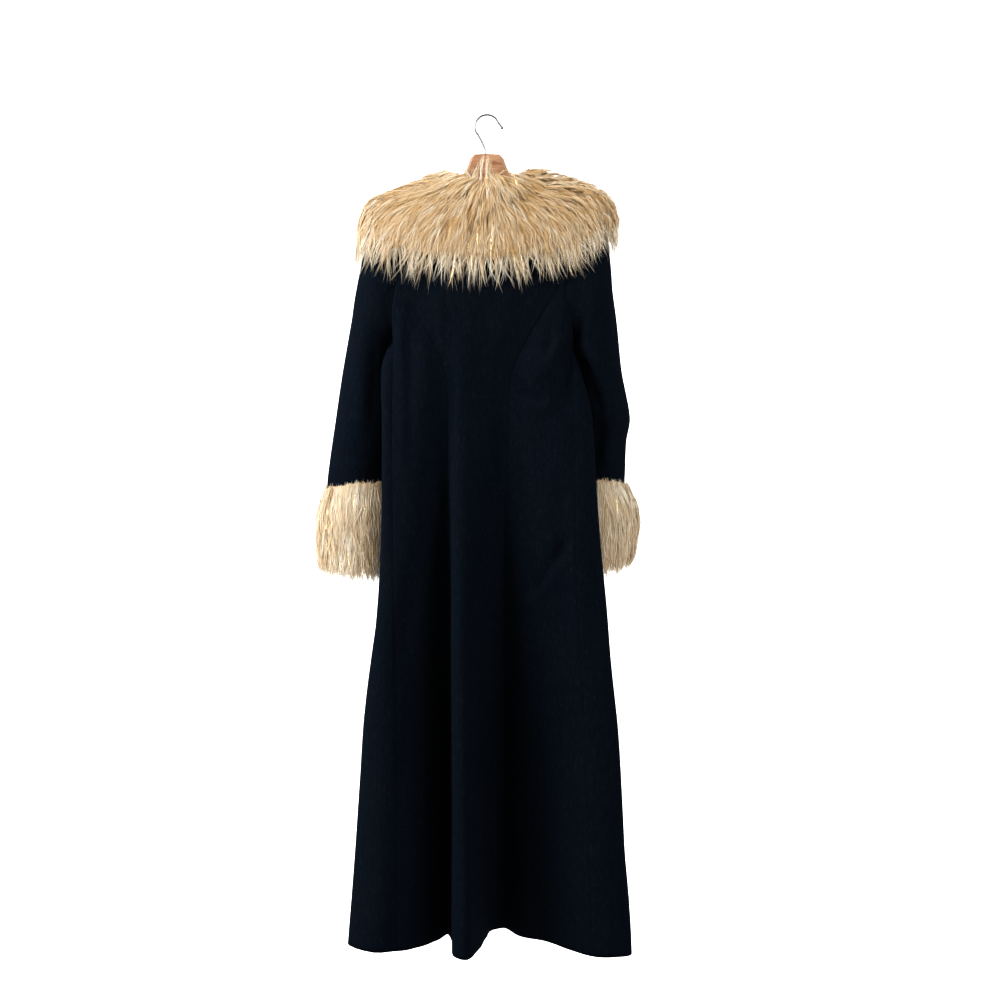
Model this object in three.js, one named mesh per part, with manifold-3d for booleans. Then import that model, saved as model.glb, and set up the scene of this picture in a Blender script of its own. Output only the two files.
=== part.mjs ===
/**
 * A maxi-length coat on a wooden hanger. It has princess seams, a round shaggy fur collar and fur cuffs.
 *
 * Millimetres, +Z up. The origin is the underside of the hook's arc, where the rail bears. The back of
 * the coat faces +Y, its front faces -Y, and the wearer's left is +X.
 *
 * The body is one net of control lines. Each line runs from the armhole or the shoulder down to the hem,
 * and the lines follow each other round the coat: left side, back, right side, front. Neighbouring panels
 * share a line, their seam. Every panel is the sheet through its lines, thickened to a wall.
 */
import * as THREE from "three";
import { mergeVertices } from "three/addons/utils/BufferGeometryUtils.js";
import Module from "manifold-3d";

const solids = await Module();
solids.setup();

// Cloth
const CLOTH = 2; // thickness of every cloth wall
const SEAM_GAP = 0.36; // clearance between neighbouring pieces

// Heights of the net's rows, measured down from the rail
const CHEST_Z = -430;
const WAIST_Z = -517;
const CUFF_Z = -790;
const THIGH_Z = -1050;
const HEM_Z = -1410;
const FLARE_AT_THIGH = 0.56; // share of the skirt's flare reached at the thigh row

// Facets: how many steps each stretch of the net is divided into
const STEPS_BELOW_CHEST = [2, 4, 3, 3]; // chest to waist, to cuff, to thigh, to hem
const STEPS_ARMHOLE_TO_CHEST = 3;
const STEPS_BACK_YOKE = [2, 2, 1]; // armhole notch to blade, to shoulder roll, to shoulder seam
const STEPS_FRONT_YOKE = [1, 2, 2, 1]; // armhole notch to chest, to collarbone, to roll, to shoulder seam
const STEPS_ACROSS = 2; // between two neighbouring lines
const SLEEVE_SIDES = 20; // also of the cuffs

// Hanger
const HANGER_THICKNESS = 12;
const HANGER_BEVEL = 4;
const HOOK_WIRE = 3.2;
const HOOK_RADIUS = 20.6; // to the wire's centre line
const HOOK_TIP = 5.2; // diameter of the bead on the hook's end
const HOOK_TIP_POINTS = [[-22.5, -16], [-25.5, -20.5]]; // x and z, past the end of the arc
const SHAFT_X = 3.5;
const SHAFT_HEIGHTS = [-89, -76, -63, -57];
const SHAFT_DEPTH = 26; // length of the shaft inside the wood
const WOOD_TOP_Z = -65;

const COLOUR = {
  cloth: 0x14171f,
  fur: 0xe6d3ae,
  wood: 0x9c6440,
  chrome: 0xc9ccd0,
};

const table = (columns, rows) => {
  const names = columns.split(" ");
  return rows.map((row) => Object.fromEntries(names.map((name, i) => [name, row[i]])));
};

const LINE_COLUMNS = "name topX topY topZ chestX chestY waistX waistY cuffX cuffY hemX hemY";

// Back, from the left side seam to the right one. "top" is on the armhole or on the notch row.
const BACK_LINES = table(LINE_COLUMNS, [
  ["left side seam", 160, 16, -375, 157, 41, 158, 44, 155, 42, 150, 28],
  ["left side lobe", 159, 37, -354, 135, 51, 128, 51, 121, 40, 130, 20],
  ["left slope", 156, 45, -318, 103, 51, 94, 46, 92, 22, 86, -25],
  ["left princess seam", 147, 47, -285, 72, 46, 66, 38, 63, 3, 69, -58],
  ["ridge foot", 108, 55, -281, 55, 50, 54, 45, 57, 34, 58, -5],
  ["ridge edge", 76, 58, -279, 47, 54, 48, 53, 54, 56, 54, 50],
  ["ridge crest", 42, 61, -278, 38, 56, 38, 55, 39, 66, 33, 70],
  ["ridge side", 8, 60, -278, 18, 54, 18, 51, 19, 50, 11, 25],
  ["valley bank", -40, 58, -279, -6, 51, -5, 44, -2, 20, -2, -40],
  ["valley foot", -86, 54, -280, -28, 48, -22, 39, -16, 4, -14, -74],
  ["right princess seam", -128, 46, -282, -47, 46, -37, 38, -28, -1, -31, -88],
  ["right slope", -131, 46, -305, -66, 48, -52, 41, -50, 12, -57, -46],
  ["right rise", -135, 44, -328, -94, 52, -80, 46, -80, 32, -99, -20],
  ["right lobe", -141, 36, -354, -122, 50, -114, 49, -117, 45, -140, 24],
  ["right side seam", -146, 15, -372, -144, 40, -146, 46, -150, 48, -176, 54],
]);

// Right front, from the right side seam to its edge, which laps over the left front
const RIGHT_FRONT_LINES = table(LINE_COLUMNS, [
  ["right side seam", -146, 15, -372, -144, 40, -146, 46, -150, 48, -176, 54],
  ["right side", -147, 9, -374, -152, 33, -162, 41, -176, 43, -209, 58],
  ["right edge", -147, 2, -374, -156, 14, -175, 26, -195, 28, -238, 45],
  ["right hollow", -146, -8, -371, -133, -6, -137, -8, -137, -10, -240, -35],
  ["right flank", -143, -22, -358, -128, -38, -130, -38, -133, -52, -207, -95],
  ["right armhole", -138, -38, -335, -117, -66, -117, -62, -121, -80, -168, -130],
  ["right fold", -124, -60, -335, -106, -80, -104, -76, -108, -92, -140, -138],
  ["right neck", -104, -80, -335, -90, -92, -88, -88, -92, -94, -112, -122],
  ["right breast", -70, -99, -335, -64, -101, -64, -96, -66, -90, -76, -86],
  ["right lap", -30, -110, -335, -30, -108, -30, -105, -30, -107, -30, -112],
  ["right edge of lap", 22, -110, -335, 22, -108, 22, -105, 22, -107, 22, -113],
]);

// Left front, from its edge, which lies under the right front, to the left side seam
const LEFT_FRONT_LINES = table(LINE_COLUMNS, [
  ["left edge of lap", -22, -105, -335, -22, -103, -22, -100, -22, -102, -22, -106],
  ["left lap", 32, -105, -335, 32, -102, 30, -99, 32, -100, 30, -101],
  ["left breast", 72, -97, -335, 68, -98, 66, -94, 68, -85, 74, -80],
  ["left neck", 110, -80, -335, 92, -92, 92, -88, 96, -92, 112, -122],
  ["left fold", 132, -60, -335, 110, -80, 112, -76, 116, -90, 136, -136],
  ["left armhole", 152, -38, -335, 124, -64, 126, -60, 130, -76, 168, -124],
  ["left flank", 157, -22, -358, 135, -38, 139, -38, 146, -52, 207, -92],
  ["left hollow", 160, -8, -371, 142, -8, 145, -10, 150, -12, 231, -44],
  ["left edge", 162, 4, -376, 176, 24, 176, 26, 178, 28, 233, 0],
  ["left side", 161, 11, -376, 168, 38, 169, 42, 170, 42, 188, 34],
  ["left side seam", 160, 16, -375, 157, 41, 158, 44, 155, 42, 150, 28],
]);

// Above the notch row: the same lines go on to the shoulder seam and the neck
const BACK_YOKE = table("name bladeX bladeY bladeZ rollX rollY rollZ seamX seamY seamZ", [
  ["left princess seam", 166, 40, -220, 194, 14, -161, 196, 0, -156],
  ["ridge foot", 122, 50, -214, 137, 13, -136, 137, 0, -131],
  ["ridge edge", 76, 54, -208, 76, 14, -123, 76, 0, -118],
  ["ridge crest", 30, 56, -206, 37, 43, -146, 38, 38, -134],
  ["ridge side", -12, 56, -206, -30, 43, -147, -32, 39, -135],
  ["valley bank", -66, 54, -208, -76, 14, -123, -76, 0, -118],
  ["valley foot", -112, 50, -213, -137, 13, -136, -137, 0, -131],
  ["right princess seam", -156, 40, -218, -194, 14, -161, -196, 0, -156],
]);
const FRONT_COLUMNS = "name chestX chestY chestZ boneX boneY boneZ rollX rollY rollZ seamX seamY seamZ";
const RIGHT_YOKE = table(FRONT_COLUMNS, [
  ["right armhole", -140, -45, -290, -159, -36, -216, -194, -14, -161, -196, 0, -156],
  ["right fold", -124, -62, -290, -135, -52, -214, -137, -13, -136, -137, 0, -131],
  ["right neck", -104, -79, -290, -98, -66, -214, -76, -14, -123, -76, 0, -118],
  ["right breast", -72, -97, -290, -70, -84, -222, -68, -54, -165, -66, -44, -150],
  ["right lap", -30, -107, -290, -32, -99, -236, -36, -87, -205, -38, -81, -194],
  ["right edge of lap", 22, -107, -290, 22, -99, -240, 22, -91, -214, 22, -87, -204],
]);
const LEFT_YOKE = table(FRONT_COLUMNS, [
  ["left edge of lap", -22, -102, -290, -22, -94, -240, -22, -86, -214, -22, -82, -204],
  ["left lap", 32, -102, -290, 33, -93, -236, 36, -81, -205, 38, -75, -194],
  ["left breast", 72, -95, -290, 70, -80, -222, 67, -48, -165, 66, -40, -150],
  ["left neck", 110, -78, -290, 102, -64, -214, 76, -14, -123, 76, 0, -118],
  ["left fold", 132, -62, -290, 138, -52, -214, 137, -13, -136, 137, 0, -131],
  ["left armhole", 150, -45, -290, 165, -36, -216, 194, -14, -161, 196, 0, -156],
]);
const NECK_LINES = ["ridge edge", "valley bank", "right neck", "left neck"]; // corners of neck and shoulder

// Sleeves, from below the armhole to the wrist. x is the distance out from the middle of the coat. A
// section is an ellipse with its own height on the outer and the inner side, and a fold that stands out.
const SLEEVE_COLUMNS = "outerZ innerZ outerX innerX middleY halfY foldAngle foldRise";
const LEFT_SLEEVE = table(SLEEVE_COLUMNS, [
  [-215, -386, 211, 168, -4, 52, 90, 0],
  [-330, -402, 236, 166, -24, 52, 90, 0.02],
  [-430, -430, 250, 153, -38, 51, 70, 0.04],
  [-517, -517, 263, 153, -46, 51, 60, 0.03],
  [-618, -618, 277, 161, -58, 45, 80, 0],
  [-637, -637, 277, 161, -58, 45, 80, 0],
]);
const RIGHT_SLEEVE = table(SLEEVE_COLUMNS, [
  [-215, -382, 207, 156, -3, 52, 110, 0.02],
  [-330, -400, 219, 156, -14, 54, 122, 0.08],
  [-430, -430, 231, 150, -29, 55, 108, 0.12],
  [-510, -510, 245, 148, -40, 53, 76, 0.14],
  [-553, -553, 239, 146, -48, 51, 76, 0.08],
  [-615, -615, 238, 146, -58, 47, 80, 0],
  [-632, -632, 238, 146, -58, 47, 80, 0],
]);
const SLEEVE_STEPS = 2; // between two of its rows
const FOLD_WIDTH = 24; // degrees from a fold's crest to its flank
const SEAT_OUT_LOW = 2.4; // the sleeve's head starts this far out from the armhole, under the arm
const SEAT_OUT_HIGH = 2.1; // and this far at the shoulder
const SEAT_DOWN_HIGH = 1.3;

// Fur cuffs: the fur's reach as a thick tube. It begins above the sleeve's end, and is open below.
const CUFF_COLUMNS = "z outerX innerX middleY halfY";
const LEFT_CUFF = table(CUFF_COLUMNS, [
  [-622, 284, 156, -57, 53],
  [-655, 293, 153, -59, 60],
  [-700, 298, 152, -60, 64],
  [-750, 296, 153, -60, 63],
  [-788, 288, 157, -60, 58],
]);
const RIGHT_CUFF = table(CUFF_COLUMNS, [
  [-619, 246, 143, -56, 54],
  [-655, 259, 141, -58, 62],
  [-695, 264, 141, -60, 66],
  [-745, 258, 142, -60, 64],
  [-783, 236, 145, -60, 57],
]);
const SLEEVE_IN_CUFF = 0.6; // clearance between the sleeve's end and the fur round it

// Fur collar, from the front edge round to the middle of the back, as the cloth side of the fur. Each
// station runs from the neck over the shoulder to the fur's lower edge.
const COLLAR_COLUMNS =
  "name neckX neckY neckZ nearX nearY nearZ farX farY farZ edgeX edgeY edgeZ";
const COLLAR = table(COLLAR_COLUMNS, [
  ["front edge", 4, -86, -200, 5, -101, -240, 6, -108, -280, 7, -111, -318],
  ["breast", 37, -77, -193, 48, -92, -232, 60, -98, -275, 74, -96, -318],
  ["chest", 64, -40, -144, 88, -62, -192, 112, -70, -240, 132, -60, -300],
  ["collarbone", 72, -14, -116, 112, -36, -158, 160, -34, -210, 184, -38, -280],
  ["shoulder", 73, 0, -110, 130, 0, -130, 190, 0, -160, 211, -4, -256],
  ["blade", 70, 14, -113, 118, 34, -168, 162, 38, -217, 184, 40, -272],
  ["back", 41, 37, -123, 62, 54, -186, 86, 57, -236, 104, 56, -288],
  ["middle of the back", 0, 41, -129, 0, 56, -192, 0, 60, -246, 0, 61, -296],
]);
const FUR_DEPTH = { neck: 15, near: 14, far: 8, edge: 5 };
const COLLAR_LIFT = 2; // clearance between the fur's underside and the cloth it lies on
const COLLAR_SEARCH = 60; // how far off the coat a line starts that looks for its cloth
const COLLAR_SEARCH_BELOW = 25; // and how far under the fur's sheet it ends
const COLLAR_PASSES = 4; // of lifting the facets that cut into the cloth
const FACET_TESTS = 8; // a facet is tested at points this many steps apart along its sides
const COLLAR_STEPS_ACROSS = 2;
const COLLAR_STEPS_DOWN = 2;

// Half of the wooden hanger's outline: the top of its neck and arm, the arm's end, and the underside
const HANGER_HALF = table("x z", [
  [0, WOOD_TOP_Z],
  [21, -66],
  [28, -73],
  [35, -92],
  [46, -107],
  [74, -121.3],
  [137, -133.5],
  [187, -155.4],
  [193, -162],
  [191, -169],
  [183, -171.5],
  [137, -156],
  [76, -146],
  [40, -136],
  [0, -130],
]);

/** The shares of a triangle's three corners at evenly spaced points over it. */
function facetShares(steps) {
  const shares = [];
  for (let i = 0; i <= steps; i += 1) {
    for (let j = 0; j <= steps - i; j += 1) shares.push([i / steps, j / steps, (steps - i - j) / steps]);
  }
  return shares;
}

const point = (x, y, z) => new THREE.Vector3(x, y, z);
const mix = THREE.MathUtils.lerp;
const radians = THREE.MathUtils.degToRad;

/** The slope at point i, per mm of the points' own chord, seen from the stretch on one side of it. */
function slopeAt(points, i, other, sharpness) {
  const oneSided = points[other].clone().sub(points[i]);
  oneSided.divideScalar(Math.max(oneSided.length(), 1e-6) * Math.sign(other - i));
  if (i === 0 || i === points.length - 1) return oneSided;
  const before = points[i].distanceTo(points[i - 1]);
  const after = points[i + 1].distanceTo(points[i]);
  const central = points[i + 1].clone().sub(points[i - 1]).divideScalar(before + after);
  return central.lerp(oneSided, sharpness);
}

/** A point on the smooth curve through the points: stretch i, at a share of its length. */
function onCurve(points, i, share, sharpness = () => 0) {
  const start = points[i];
  const end = points[i + 1];
  const length = start.distanceTo(end);
  const leaving = slopeAt(points, i, i + 1, sharpness(i)).multiplyScalar(length);
  const arriving = slopeAt(points, i + 1, i, sharpness(i + 1)).multiplyScalar(length);
  const s2 = share * share;
  const s3 = s2 * share;
  return start
    .clone()
    .multiplyScalar(2 * s3 - 3 * s2 + 1)
    .addScaledVector(end, 3 * s2 - 2 * s3)
    .addScaledVector(leaving, s3 - 2 * s2 + share)
    .addScaledVector(arriving, s3 - s2);
}

/** The curve's points, with each stretch divided into its own number of steps. */
function sampled(points, steps, sharpness) {
  const found = [];
  for (let i = 0; i < points.length - 1; i += 1) {
    const count = Array.isArray(steps) ? steps[i] : steps;
    for (let k = 0; k < count; k += 1) found.push(onCurve(points, i, k / count, sharpness));
  }
  found.push(points.at(-1).clone());
  return found;
}

/** The rows of a sheet through columns of control points. cornerAt(row, column) sharpens a bend. */
function sheet(columns, stepsDown, stepsAcross, cornerAt = () => 0) {
  const lines = columns.map((column) => sampled(column, stepsDown));
  return lines[0].map((_, row) => {
    const across = lines.map((line) => line[row]);
    return sampled(across, stepsAcross, (column) => cornerAt(row, column));
  });
}

function skirtLine(line) {
  return [
    point(line.topX, line.topY, line.topZ),
    point(line.chestX, line.chestY, CHEST_Z),
    point(line.waistX, line.waistY, WAIST_Z),
    point(line.cuffX, line.cuffY, CUFF_Z),
    point(
      mix(line.cuffX, line.hemX, FLARE_AT_THIGH),
      mix(line.cuffY, line.hemY, FLARE_AT_THIGH),
      THIGH_Z,
    ),
    point(line.hemX, line.hemY, HEM_Z),
  ];
}

function lowerSheet(lines) {
  return sheet(lines.map(skirtLine), [STEPS_ARMHOLE_TO_CHEST, ...STEPS_BELOW_CHEST], STEPS_ACROSS);
}

/** The sheet above the notch row, from the shoulder down. Its last row is the lower sheet's first. */
function yokeSheet(yoke, rowNames, lines, stepsUp, firstRow) {
  const columns = yoke.map((station) => {
    const line = lines.find((entry) => entry.name === station.name);
    const up = rowNames.map((row) => point(station[`${row}X`], station[`${row}Y`], station[`${row}Z`]));
    return [point(line.topX, line.topY, line.topZ), ...up];
  });
  const rowCount = stepsUp.reduce((sum, count) => sum + count, 0);
  const sharp = (row, column) => (NECK_LINES.includes(yoke[column].name) ? (row / rowCount) ** 2 : 0);
  const rows = sheet(columns, stepsUp, STEPS_ACROSS, sharp);
  rows[0] = firstRow;
  return rows.reverse();
}

/** Points and triangles of one or more sheets, joined where their points coincide. */
class Cloth {
  constructor() {
    this.points = [];
    this.triangles = [];
    this.index = new Map();
  }

  add(p) {
    const key = [p.x, p.y, p.z].map((value) => value.toFixed(3)).join(" ");
    if (!this.index.has(key)) {
      this.index.set(key, this.points.length);
      this.points.push(p.clone());
    }
    return this.index.get(key);
  }

  /** Adds rows of points. Seen from outside, rows run down and columns run to the right. */
  addSheet(rows, closed = false) {
    const ids = rows.map((row) => row.map((p) => this.add(p)));
    const width = ids[0].length;
    for (let r = 0; r < ids.length - 1; r += 1) {
      for (let c = 0; c < width - (closed ? 0 : 1); c += 1) {
        const next = (c + 1) % width;
        this.addTriangle(ids[r][c], ids[r + 1][c], ids[r + 1][next]);
        this.addTriangle(ids[r][c], ids[r + 1][next], ids[r][next]);
      }
    }
    return this;
  }

  addTriangle(a, b, c) {
    if (a !== b && b !== c && c !== a) this.triangles.push([a, b, c]);
  }

  /** The edges used by one triangle only, in that triangle's direction, each with its third corner. */
  rim() {
    const used = new Map();
    for (const [a, b, c] of this.triangles) {
      used.set(`${a} ${b}`, [a, b, c]);
      used.set(`${b} ${c}`, [b, c, a]);
      used.set(`${c} ${a}`, [c, a, b]);
    }
    return [...used.values()].filter(([from, to]) => !used.has(`${to} ${from}`));
  }

  /** The points with the rim drawn in by a distance, measured in the sheet's own surface. */
  drawnIn(distance) {
    const inward = new Map();
    for (const [from, to, third] of this.rim()) {
      const edge = this.points[to].clone().sub(this.points[from]).normalize();
      const across = this.points[third].clone().sub(this.points[from]);
      across.addScaledVector(edge, -across.dot(edge)).normalize();
      for (const id of [from, to]) inward.set(id, [...(inward.get(id) ?? []), across]);
    }
    return this.points.map((p, id) => {
      if (!inward.has(id)) return p.clone();
      const [first, second] = inward.get(id);
      const share = distance / (1 + first.dot(second));
      return p.clone().addScaledVector(first, share).addScaledVector(second, share);
    });
  }
}

const keyOf = (p) => [p.x, p.y, p.z].map((value) => value.toFixed(2)).join(" ");

/** Normals that all the given cloths share wherever their points coincide. */
function sharedNormals(cloths) {
  const normals = new Map();
  for (const cloth of cloths) {
    for (const [a, b, c] of cloth.triangles.map((ids) => ids.map((id) => cloth.points[id]))) {
      const normal = b.clone().sub(a).cross(c.clone().sub(a));
      for (const p of [a, b, c]) {
        const sum = normals.get(keyOf(p)) ?? point(0, 0, 0);
        normals.set(keyOf(p), sum.add(normal));
      }
    }
  }
  for (const normal of normals.values()) normal.normalize();
  return normals;
}

/** The closed wall between two faces of a cloth, given as two lists of its points. */
function wall(cloth, outer, inner) {
  const count = outer.length;
  const faces = [
    ...cloth.triangles,
    ...cloth.triangles.map(([a, b, c]) => [a + count, c + count, b + count]),
    ...cloth.rim().flatMap(([from, to]) => [
      [to, from, from + count],
      [to, from + count, to + count],
    ]),
  ];
  return geometryOf([...outer, ...inner], faces);
}

/** A wall of cloth, half of it on each side of the sheet. */
function clothWall(cloth, normals) {
  const points = cloth.drawnIn(SEAM_GAP / 2);
  const face = (distance) =>
    points.map((p, id) => p.clone().addScaledVector(normals.get(keyOf(cloth.points[id])), distance));
  return wall(cloth, face(CLOTH / 2), face(-CLOTH / 2));
}

function geometryOf(vertices, faces) {
  const geometry = new THREE.BufferGeometry();
  geometry.setAttribute("position", new THREE.Float32BufferAttribute(vertices.flatMap((p) => [...p]), 3));
  geometry.setIndex(faces.flat());
  return geometry;
}

function solidOf(geometry) {
  const bare = geometry.clone();
  bare.deleteAttribute("normal");
  bare.deleteAttribute("uv");
  const merged = mergeVertices(bare, 1e-4);
  return new solids.Manifold(
    new solids.Mesh({
      numProp: 3,
      vertProperties: new Float32Array(merged.attributes.position.array),
      triVerts: new Uint32Array(merged.index.array),
    }),
  );
}

function geometryFrom(solid) {
  const { vertProperties, triVerts } = solid.getMesh();
  const geometry = new THREE.BufferGeometry();
  geometry.setAttribute("position", new THREE.BufferAttribute(new Float32Array(vertProperties), 3));
  geometry.setIndex(new THREE.BufferAttribute(new Uint32Array(triVerts), 1));
  return geometry;
}

/** The closed loop of an armhole, from the shoulder over the back and the underarm to the front. */
function armholeLoop(backYoke, backSide, frontLower, frontYoke, side) {
  const edge = (rows, first) => rows.map((row) => (first ? row[0] : row.at(-1)));
  const onLeft = side > 0;
  const down = edge(backYoke, onLeft);
  const under = onLeft ? [...backSide[0]].reverse() : backSide[0];
  const forward = onLeft ? [...frontLower[0]].reverse() : frontLower[0];
  const armholeAt = onLeft ? "left armhole" : "right armhole";
  const lines = onLeft ? LEFT_FRONT_LINES : RIGHT_FRONT_LINES;
  const position = lines.findIndex((line) => line.name === armholeAt);
  const reach = (onLeft ? lines.length - 1 - position : position) * STEPS_ACROSS;
  const up = edge(frontYoke, !onLeft).reverse();
  const loop = [...down, ...under.slice(1), ...forward.slice(1, reach + 1), ...up.slice(1, -1)];
  return loop.map((p) => p.clone());
}

/** Evenly spaced points on a closed loop. */
function evenly(loop, count) {
  const curve = new THREE.CatmullRomCurve3(loop, true, "centripetal");
  curve.arcLengthDivisions = 400;
  return Array.from({ length: count }, (_, i) => curve.getPointAt(i / count));
}

/** A point of a sleeve's section. Turn 0 is its outer side, and the back comes next. */
function sleevePoint(row, turn, side) {
  const angle = turn * 2 * Math.PI;
  const away = Math.atan2(Math.sin(angle - radians(row.foldAngle)), Math.cos(angle - radians(row.foldAngle)));
  const swell = 1 + row.foldRise * Math.exp(-((away / radians(FOLD_WIDTH)) ** 2));
  const halfX = (row.outerX - row.innerX) / 2;
  const x = row.innerX + halfX + halfX * Math.cos(angle) * swell;
  const y = row.middleY + row.halfY * Math.sin(angle) * swell;
  return point(side * x, y, mix(row.innerZ, row.outerZ, (1 + Math.cos(angle)) / 2));
}

function sleeveSheet(rows, loop, side) {
  const head = evenly(loop, SLEEVE_SIDES).map((p, i) => {
    const height = (1 + Math.cos((i / SLEEVE_SIDES) * 2 * Math.PI)) / 2;
    const out = mix(SEAT_OUT_LOW, SEAT_OUT_HIGH, height);
    return p.clone().add(point(side * out, 0, -SEAT_DOWN_HIGH * height));
  });
  const columns = head.map((p, i) => [p, ...rows.map((row) => sleevePoint(row, i / SLEEVE_SIDES, side))]);
  const lines = columns.map((column) => sampled(column, SLEEVE_STEPS));
  const sections = lines[0].map((_, r) => lines.map((line) => line[r]));
  return side > 0 ? sections : sections.map((section) => [section[0], ...section.slice(1).reverse()]);
}

/** A level section of a cuff, with as many corners as the sleeve. */
function cuffSection(row, side, z = row.z) {
  const halfX = (row.outerX - row.innerX) / 2;
  return Array.from({ length: SLEEVE_SIDES }, (_, i) => {
    const angle = (side * i * 2 * Math.PI) / SLEEVE_SIDES;
    const x = row.innerX + halfX + halfX * Math.cos(angle);
    return point(side * x, row.middleY + row.halfY * Math.sin(angle), z);
  });
}

/** The hollow of a cuff: the sleeve's end, its cloth and a clearance round it. */
function cuffHollow(sleeveRow, side, z) {
  const grow = CLOTH / 2 + SLEEVE_IN_CUFF;
  const section = {
    outerX: sleeveRow.outerX + grow,
    innerX: sleeveRow.innerX - grow,
    middleY: sleeveRow.middleY,
    halfY: sleeveRow.halfY + grow,
  };
  return cuffSection(section, side, z);
}

/** Fur tube: down its outside, then up its hollow, closed into a ring. */
function cuffGeometry(rows, sleeveRow, side) {
  const outside = rows.map((row) => cuffSection(row, side));
  const heights = [rows.at(-1).z, mix(rows[0].z, rows.at(-1).z, 0.5), rows[0].z];
  const inside = heights.map((z) => cuffHollow(sleeveRow, side, z));
  const cloth = new Cloth();
  cloth.addSheet([...outside, ...inside, outside[0]], true);
  return geometryOf(cloth.points, cloth.triangles);
}

const mirrored = (p) => point(-p.x, p.y, p.z);

/** The collar's underside, as columns from the left front edge over the back to the right one. */
function collarColumns() {
  const rows = ["neck", "near", "far", "edge"];
  const left = COLLAR.map((station) =>
    rows.map((row) => point(station[`${row}X`], station[`${row}Y`], station[`${row}Z`])),
  );
  const right = left.slice(0, -1).reverse().map((column) => column.map(mirrored));
  return [...left, ...right];
}

/** Where a line from outside meets the coat's cloth, moved out a little. Elsewhere the point stays. */
function laidOn(cloths, p, normal) {
  const from = p.clone().addScaledVector(normal, COLLAR_SEARCH);
  const reach = COLLAR_SEARCH + COLLAR_SEARCH_BELOW;
  const ray = new THREE.Raycaster(from, normal.clone().negate(), 0, reach);
  const [hit] = ray.intersectObjects(cloths, false);
  return hit ? hit.point.clone().addScaledVector(normal, COLLAR_LIFT) : p.clone();
}

/** Lifts the corners of every facet that cuts into the cloth, by as much as it cuts in. */
function liftFacets(sheetCloth, points, normals, cloths) {
  const lifts = points.map(() => 0);
  for (const ids of sheetCloth.triangles) {
    for (const shares of facetShares(FACET_TESTS)) {
      const blend = (list) =>
        ids.reduce((sum, id, i) => sum.addScaledVector(list[id], shares[i]), point(0, 0, 0));
      const p = blend(points);
      const normal = blend(normals).normalize();
      const lift = laidOn(cloths, p, normal).sub(p).dot(normal);
      for (const id of ids) lifts[id] = Math.max(lifts[id], lift);
    }
  }
  return points.map((p, id) => p.clone().addScaledVector(normals[id], lifts[id]));
}

/** Fur's reach round the neck: from the cloth it lies on out to the tips of the fur. */
function collarGeometry(cloths) {
  const rows = sheet(collarColumns(), COLLAR_STEPS_DOWN, COLLAR_STEPS_ACROSS);
  const cloth = new Cloth().addSheet(rows);
  const normals = sharedNormals([cloth]);
  const depthPoints = Object.values(FUR_DEPTH).map((depth, i) => point(i * FUR_DEPTH.near, depth, 0));
  const depths = sampled(depthPoints, COLLAR_STEPS_DOWN).map((p) => p.y);
  const depthOf = new Map(rows.flatMap((row, r) => row.map((p) => [cloth.add(p), depths[r]])));
  const normalList = cloth.points.map((p) => normals.get(keyOf(p)));
  let inner = cloth.points.map((p, id) => laidOn(cloths, p, normalList[id]));
  for (let pass = 0; pass < COLLAR_PASSES; pass += 1) inner = liftFacets(cloth, inner, normalList, cloths);
  const outer = inner.map((p, id) => p.clone().addScaledVector(normalList[id], depthOf.get(id)));
  return wall(cloth, outer, inner);
}

/** The wooden hanger's outline, out along one arm, back underneath, and the same on the other side. */
function hangerOutline() {
  const other = HANGER_HALF.slice(1, -1).reverse();
  return [
    ...HANGER_HALF.map(({ x, z }) => new THREE.Vector2(x, z)),
    ...other.map(({ x, z }) => new THREE.Vector2(-x, z)),
  ];
}

function upright(geometry) {
  return geometry.rotateX(Math.PI / 2);
}

function hangerBody() {
  const shape = new THREE.Shape(hangerOutline());
  const wood = new THREE.ExtrudeGeometry(shape, {
    depth: HANGER_THICKNESS - 2 * HANGER_BEVEL,
    bevelThickness: HANGER_BEVEL,
    bevelSize: HANGER_BEVEL,
    bevelOffset: -HANGER_BEVEL,
    bevelSegments: 2,
  });
  wood.translate(0, 0, -(HANGER_THICKNESS - 2 * HANGER_BEVEL) / 2);
  const boreRadius = HOOK_WIRE / 2 + SEAM_GAP;
  const bore = new THREE.CylinderGeometry(boreRadius, boreRadius, 2 * SHAFT_DEPTH, 16);
  upright(bore).translate(SHAFT_X, 0, WOOD_TOP_Z);
  return geometryFrom(solidOf(upright(wood)).subtract(solidOf(bore)));
}

/** The hook's centre line: up the shaft, round the arc over the rail, and out to the tip. */
function hookPath() {
  const centreZ = HOOK_WIRE / 2 - HOOK_RADIUS;
  const shaft = SHAFT_HEIGHTS.map((z) => point(SHAFT_X, 0, z));
  const arc = [];
  for (let degrees = -45; degrees <= 160; degrees += 20.5) {
    const angle = radians(degrees);
    arc.push(point(HOOK_RADIUS * Math.cos(angle), 0, centreZ + HOOK_RADIUS * Math.sin(angle)));
  }
  const tip = HOOK_TIP_POINTS.map(([x, z]) => point(x, 0, z));
  return new THREE.CatmullRomCurve3([...shaft, ...arc, ...tip], false, "centripetal");
}

function hangerHook() {
  const section = new THREE.Shape().absarc(0, 0, HOOK_WIRE / 2, 0, 2 * Math.PI);
  const path = hookPath();
  const wire = new THREE.ExtrudeGeometry(section, { steps: 44, curveSegments: 4, extrudePath: path });
  const bead = new THREE.SphereGeometry(HOOK_TIP / 2, 10, 7);
  bead.translate(...path.getPointAt(1));
  return geometryFrom(solidOf(wire).add(solidOf(bead)));
}

const columnsOf = (rows, first, last) =>
  rows.map((row) => row.slice(first * STEPS_ACROSS, last * STEPS_ACROSS + 1));
const lineIndex = (lines, name) => lines.findIndex((line) => line.name === name);

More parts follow.
